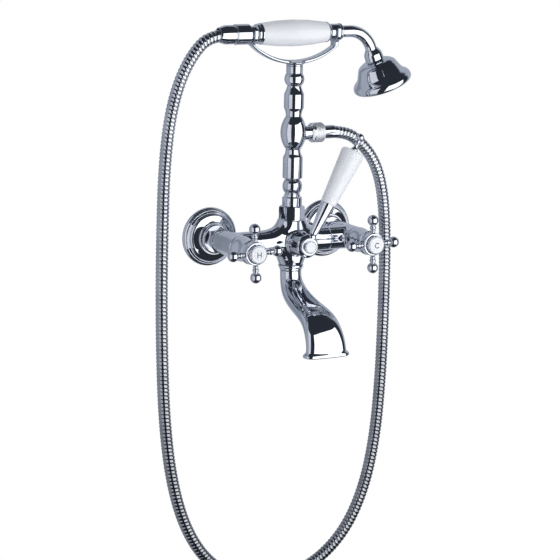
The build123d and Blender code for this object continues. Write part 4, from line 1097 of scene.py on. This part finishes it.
# Shower head: a bell spun from brass sheet with a domed shoulder, a waist and a rolled rim, chromed.
# A tapered turned nut holds it on the gooseneck.
HEAD = Place((head_at[0], -COLUMN_OUT, head_at[1]), (neck_way[0], 0, neck_way[1]), (0, 1, 0))
HEAD_NUT = [
    (6.75, -6.0), (7.5, -6.0), (10.1, -1.4), (10.4, -0.6), (10.8, 6.0), (9.4, 8.4), (7.9, 8.4), (7.9, 0.3),
    (6.75, 0.3),
]
BELL = [
    (4.5, 3.0), (7.8, 3.0), (7.8, 8.8), (11.0, 8.8), (16.6, 10.0, "arc"), (20.6, 12.4),
    (21.7, 13.5, "arc"), (22.5, 14.9), (25.6, 22.2), (27.9, 26.2, "arc"), (31.2, 29.4),
    (33.4, 31.8, "arc"), (34.2, 35.0), (33.6, 37.7, "arc"), (31.6, 39.2), (30.0, 39.2), (30.0, 36.6),
    (28.6, 36.6), (26.0, 29.5), (22.6, 24.0), (20.0, 16.0), (14.0, 12.0), (4.5, 12.0),
]
lathe("head_nut", HEAD, HEAD_NUT, body="hand_shower")
piece("shower_head_spun", [turned(HEAD, BELL, 0.3, 144)], spun, "hand_shower", "chrome", "shower_head")


# Spout: a hollow casting, chromed. It leaves the body round, sweeps out and down in an S, and widens
# to a flat-sided mouth with a flared lip. Each station is out from the wall, height, tilt in degrees,
# half width, half depth and squareness.
SPOUT_STATIONS = np.array([
    (60.0, -33.0, 0, 12.2, 12.2, 0.552), (61.0, -43.0, 14, 12.4, 12.2, 0.552),
    (67.0, -54.0, 36, 14.1, 12.1, 0.580), (83.0, -64.5, 54, 16.2, 11.6, 0.620),
    (106.5, -72.0, 57, 18.4, 10.8, 0.680), (130.5, -81.8, 43, 21.3, 9.9, 0.740),
    (142.0, -95.5, 19, 23.5, 9.4, 0.690), (145.5, -105.0, 6, 24.3, 9.2, 0.680),
    (146.2, -109.8, 1, 24.7, 9.15, 0.680),
])
SPOUT_LIP = [
    (146.3, -110.6, 0, 24.9, 9.3, 0.700), (146.35, -111.4, 0, 25.5, 9.75, 0.720),
    (146.4, -112.6, 0, 26.7, 10.45, 0.740), (146.4, -113.2, 0, 27.4, 10.8, 0.750),
    (146.4, -114.0, 0, 27.9, 10.87, 0.760),
    (146.4, -115.4, 0, 28.1, 10.85, 0.760), (146.4, -116.1, 0, 27.9, 10.65, 0.760),
    (146.4, -116.5, 0, 27.4, 10.15, 0.760), (146.4, -116.6, 0, 26.9, 9.6, 0.760),
]
SPOUT_WALL = 2.3
INNER_END = (146.4, -118.0, 0, 25.0, 9.2, 0.700)
SPOUT_MOUTH = [(146.4, -116.6, 0, 23.8, 8.0, 0.700), (146.4, -116.4, 0, 23.1, 7.2, 0.700)]


def curve_through(rows, count):
    """Values at even steps along a natural cubic spline through the rows, spaced by chord length."""
    reach = np.linalg.norm(np.diff(rows[:, :2], axis=0), axis=1)
    knots = np.concatenate([[0], np.cumsum(reach)])
    size = len(rows)
    system, right = np.eye(size), np.zeros_like(rows)
    for i in range(1, size - 1):
        a, b = reach[i - 1], reach[i]
        system[i, i - 1:i + 2] = a, 2 * (a + b), b
        right[i] = 6 * ((rows[i + 1] - rows[i]) / b - (rows[i] - rows[i - 1]) / a)
    bends = np.linalg.solve(system, right)
    at = np.linspace(0, knots[-1], count)
    i = np.clip(np.searchsorted(knots, at, side="right") - 1, 0, size - 2)
    h, t = reach[i][:, None], (at - knots[i])[:, None]
    u = h - t
    curve = (bends[i] * u**3 + bends[i + 1] * t**3) / (6 * h)
    return curve + (rows[i] / h - bends[i] * h / 6) * u + (rows[i + 1] / h - bends[i + 1] * h / 6) * t


def spout_ring(station, around=24):
    """One rounded section: four quarter curves, each a cubic from flat side to flat side."""
    out, height, tilt, a, b, square = station
    u = np.linspace(0, 1, around, endpoint=False)[:, None]
    local = []
    for k, (sx, sy) in enumerate(((1, 1), (-1, 1), (-1, -1), (1, -1))):
        corners = [(sx * a, 0), (sx * a, sy * square * b), (sx * square * a, sy * b), (0, sy * b)]
        p = np.array(corners[::-1] if k % 2 else corners)
        near, far = 3 * u * (1 - u)**2, 3 * u * u * (1 - u)
        local.append((1 - u)**3 * p[0] + near * p[1] + far * p[2] + u**3 * p[3])
    local = np.concatenate(local)
    lean = math.radians(tilt)
    down = np.array([0, -math.cos(lean), math.sin(lean)])
    return np.array([0, -out, height]) + local[:, :1] * np.array([1.0, 0, 0]) + local[:, 1:] * down


outer = list(curve_through(SPOUT_STATIONS, 70)) + SPOUT_LIP
inner = curve_through(np.concatenate([SPOUT_STATIONS, [INNER_END]]), 50)[:-1]
inner[:, 3:5] -= SPOUT_WALL
spout_rows = np.stack([spout_ring(s) for s in [*outer, *SPOUT_MOUTH, *inner[::-1]]])
spout_skin = lattice(spout_rows * MM, square_to(spout_rows), True)
piece("spout_cast", [spout_skin], cast, "spout", "chrome", "spout")
COLLAR = [
    (12.6, -27.0), (13.9, -27.0), (14.4, -28.4, "arc"), (13.9, -30.0), (13.2, -30.8), (12.9, -32.5),
    (10.2, -32.5), (10.2, -31.9), (12.6, -31.9),
]
lathe("spout_collar", COLUMN, COLLAR)


# Pieces that keep the frame's own shapes: the brass and fired ceramic inside the valves, the rubber
# seals, the steel screws, and the pierced plates of the shower head and the spout.
steel = metal("stamped_steel", (0.50, 0.52, 0.55), (0.66, 0.68, 0.71), (0.16, 0.30), 0.00002, 0.003)


def plain(name, dark, bright, rough, grain, depth):
    """A dull moulded or fired material: a mottled tone, uneven gloss and a fine grain."""
    material, shader, place = fresh(name)
    fine, broad = place.noise(grain, 4.0), place.noise(10 * grain, 2.0)
    broad.ramp(0.3, 0.7).mix(dark, bright).feed(shader, "Base Color")
    fine.ramp(0.3, 0.7, *rough).feed(shader, "Roughness")
    fine.relief(depth, 0.6).feed(shader, "Normal")
    return material


rubber = plain("seal_rubber", (0.012, 0.012, 0.013), (0.030, 0.030, 0.032), (0.55, 0.8), 0.0006, 0.00003)
fired = plain("fired_ceramic", (0.80, 0.79, 0.76), (0.88, 0.87, 0.84), (0.18, 0.3), 0.0005, 0.000008)
nylon = plain("strainer_plastic", (0.50, 0.52, 0.55), (0.60, 0.62, 0.65), (0.35, 0.5), 0.0005, 0.00001)
KEPT = [
    (brass, "hot_headpart cold_headpart hot_spindle cold_spindle diverter_rotor diverter_spindle"),
    (brass, "spout_tailpiece"),
    (fired, "fixed_discs hot_moving_disc cold_moving_disc"),
    (rubber, "union_washers seat_seals column_washer outlet_washer diverter_seals swivel_washer"),
    (rubber, "head_washer spout_seals"),
    (steel, "hot_handle_screw cold_handle_screw lever_screw spray_plate"),
    (nylon, "outlet_strainer"),
]
for material, names in KEPT:
    for name in names.split():
        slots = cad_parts[name].data.materials
        slots.clear()
        slots.append(material)
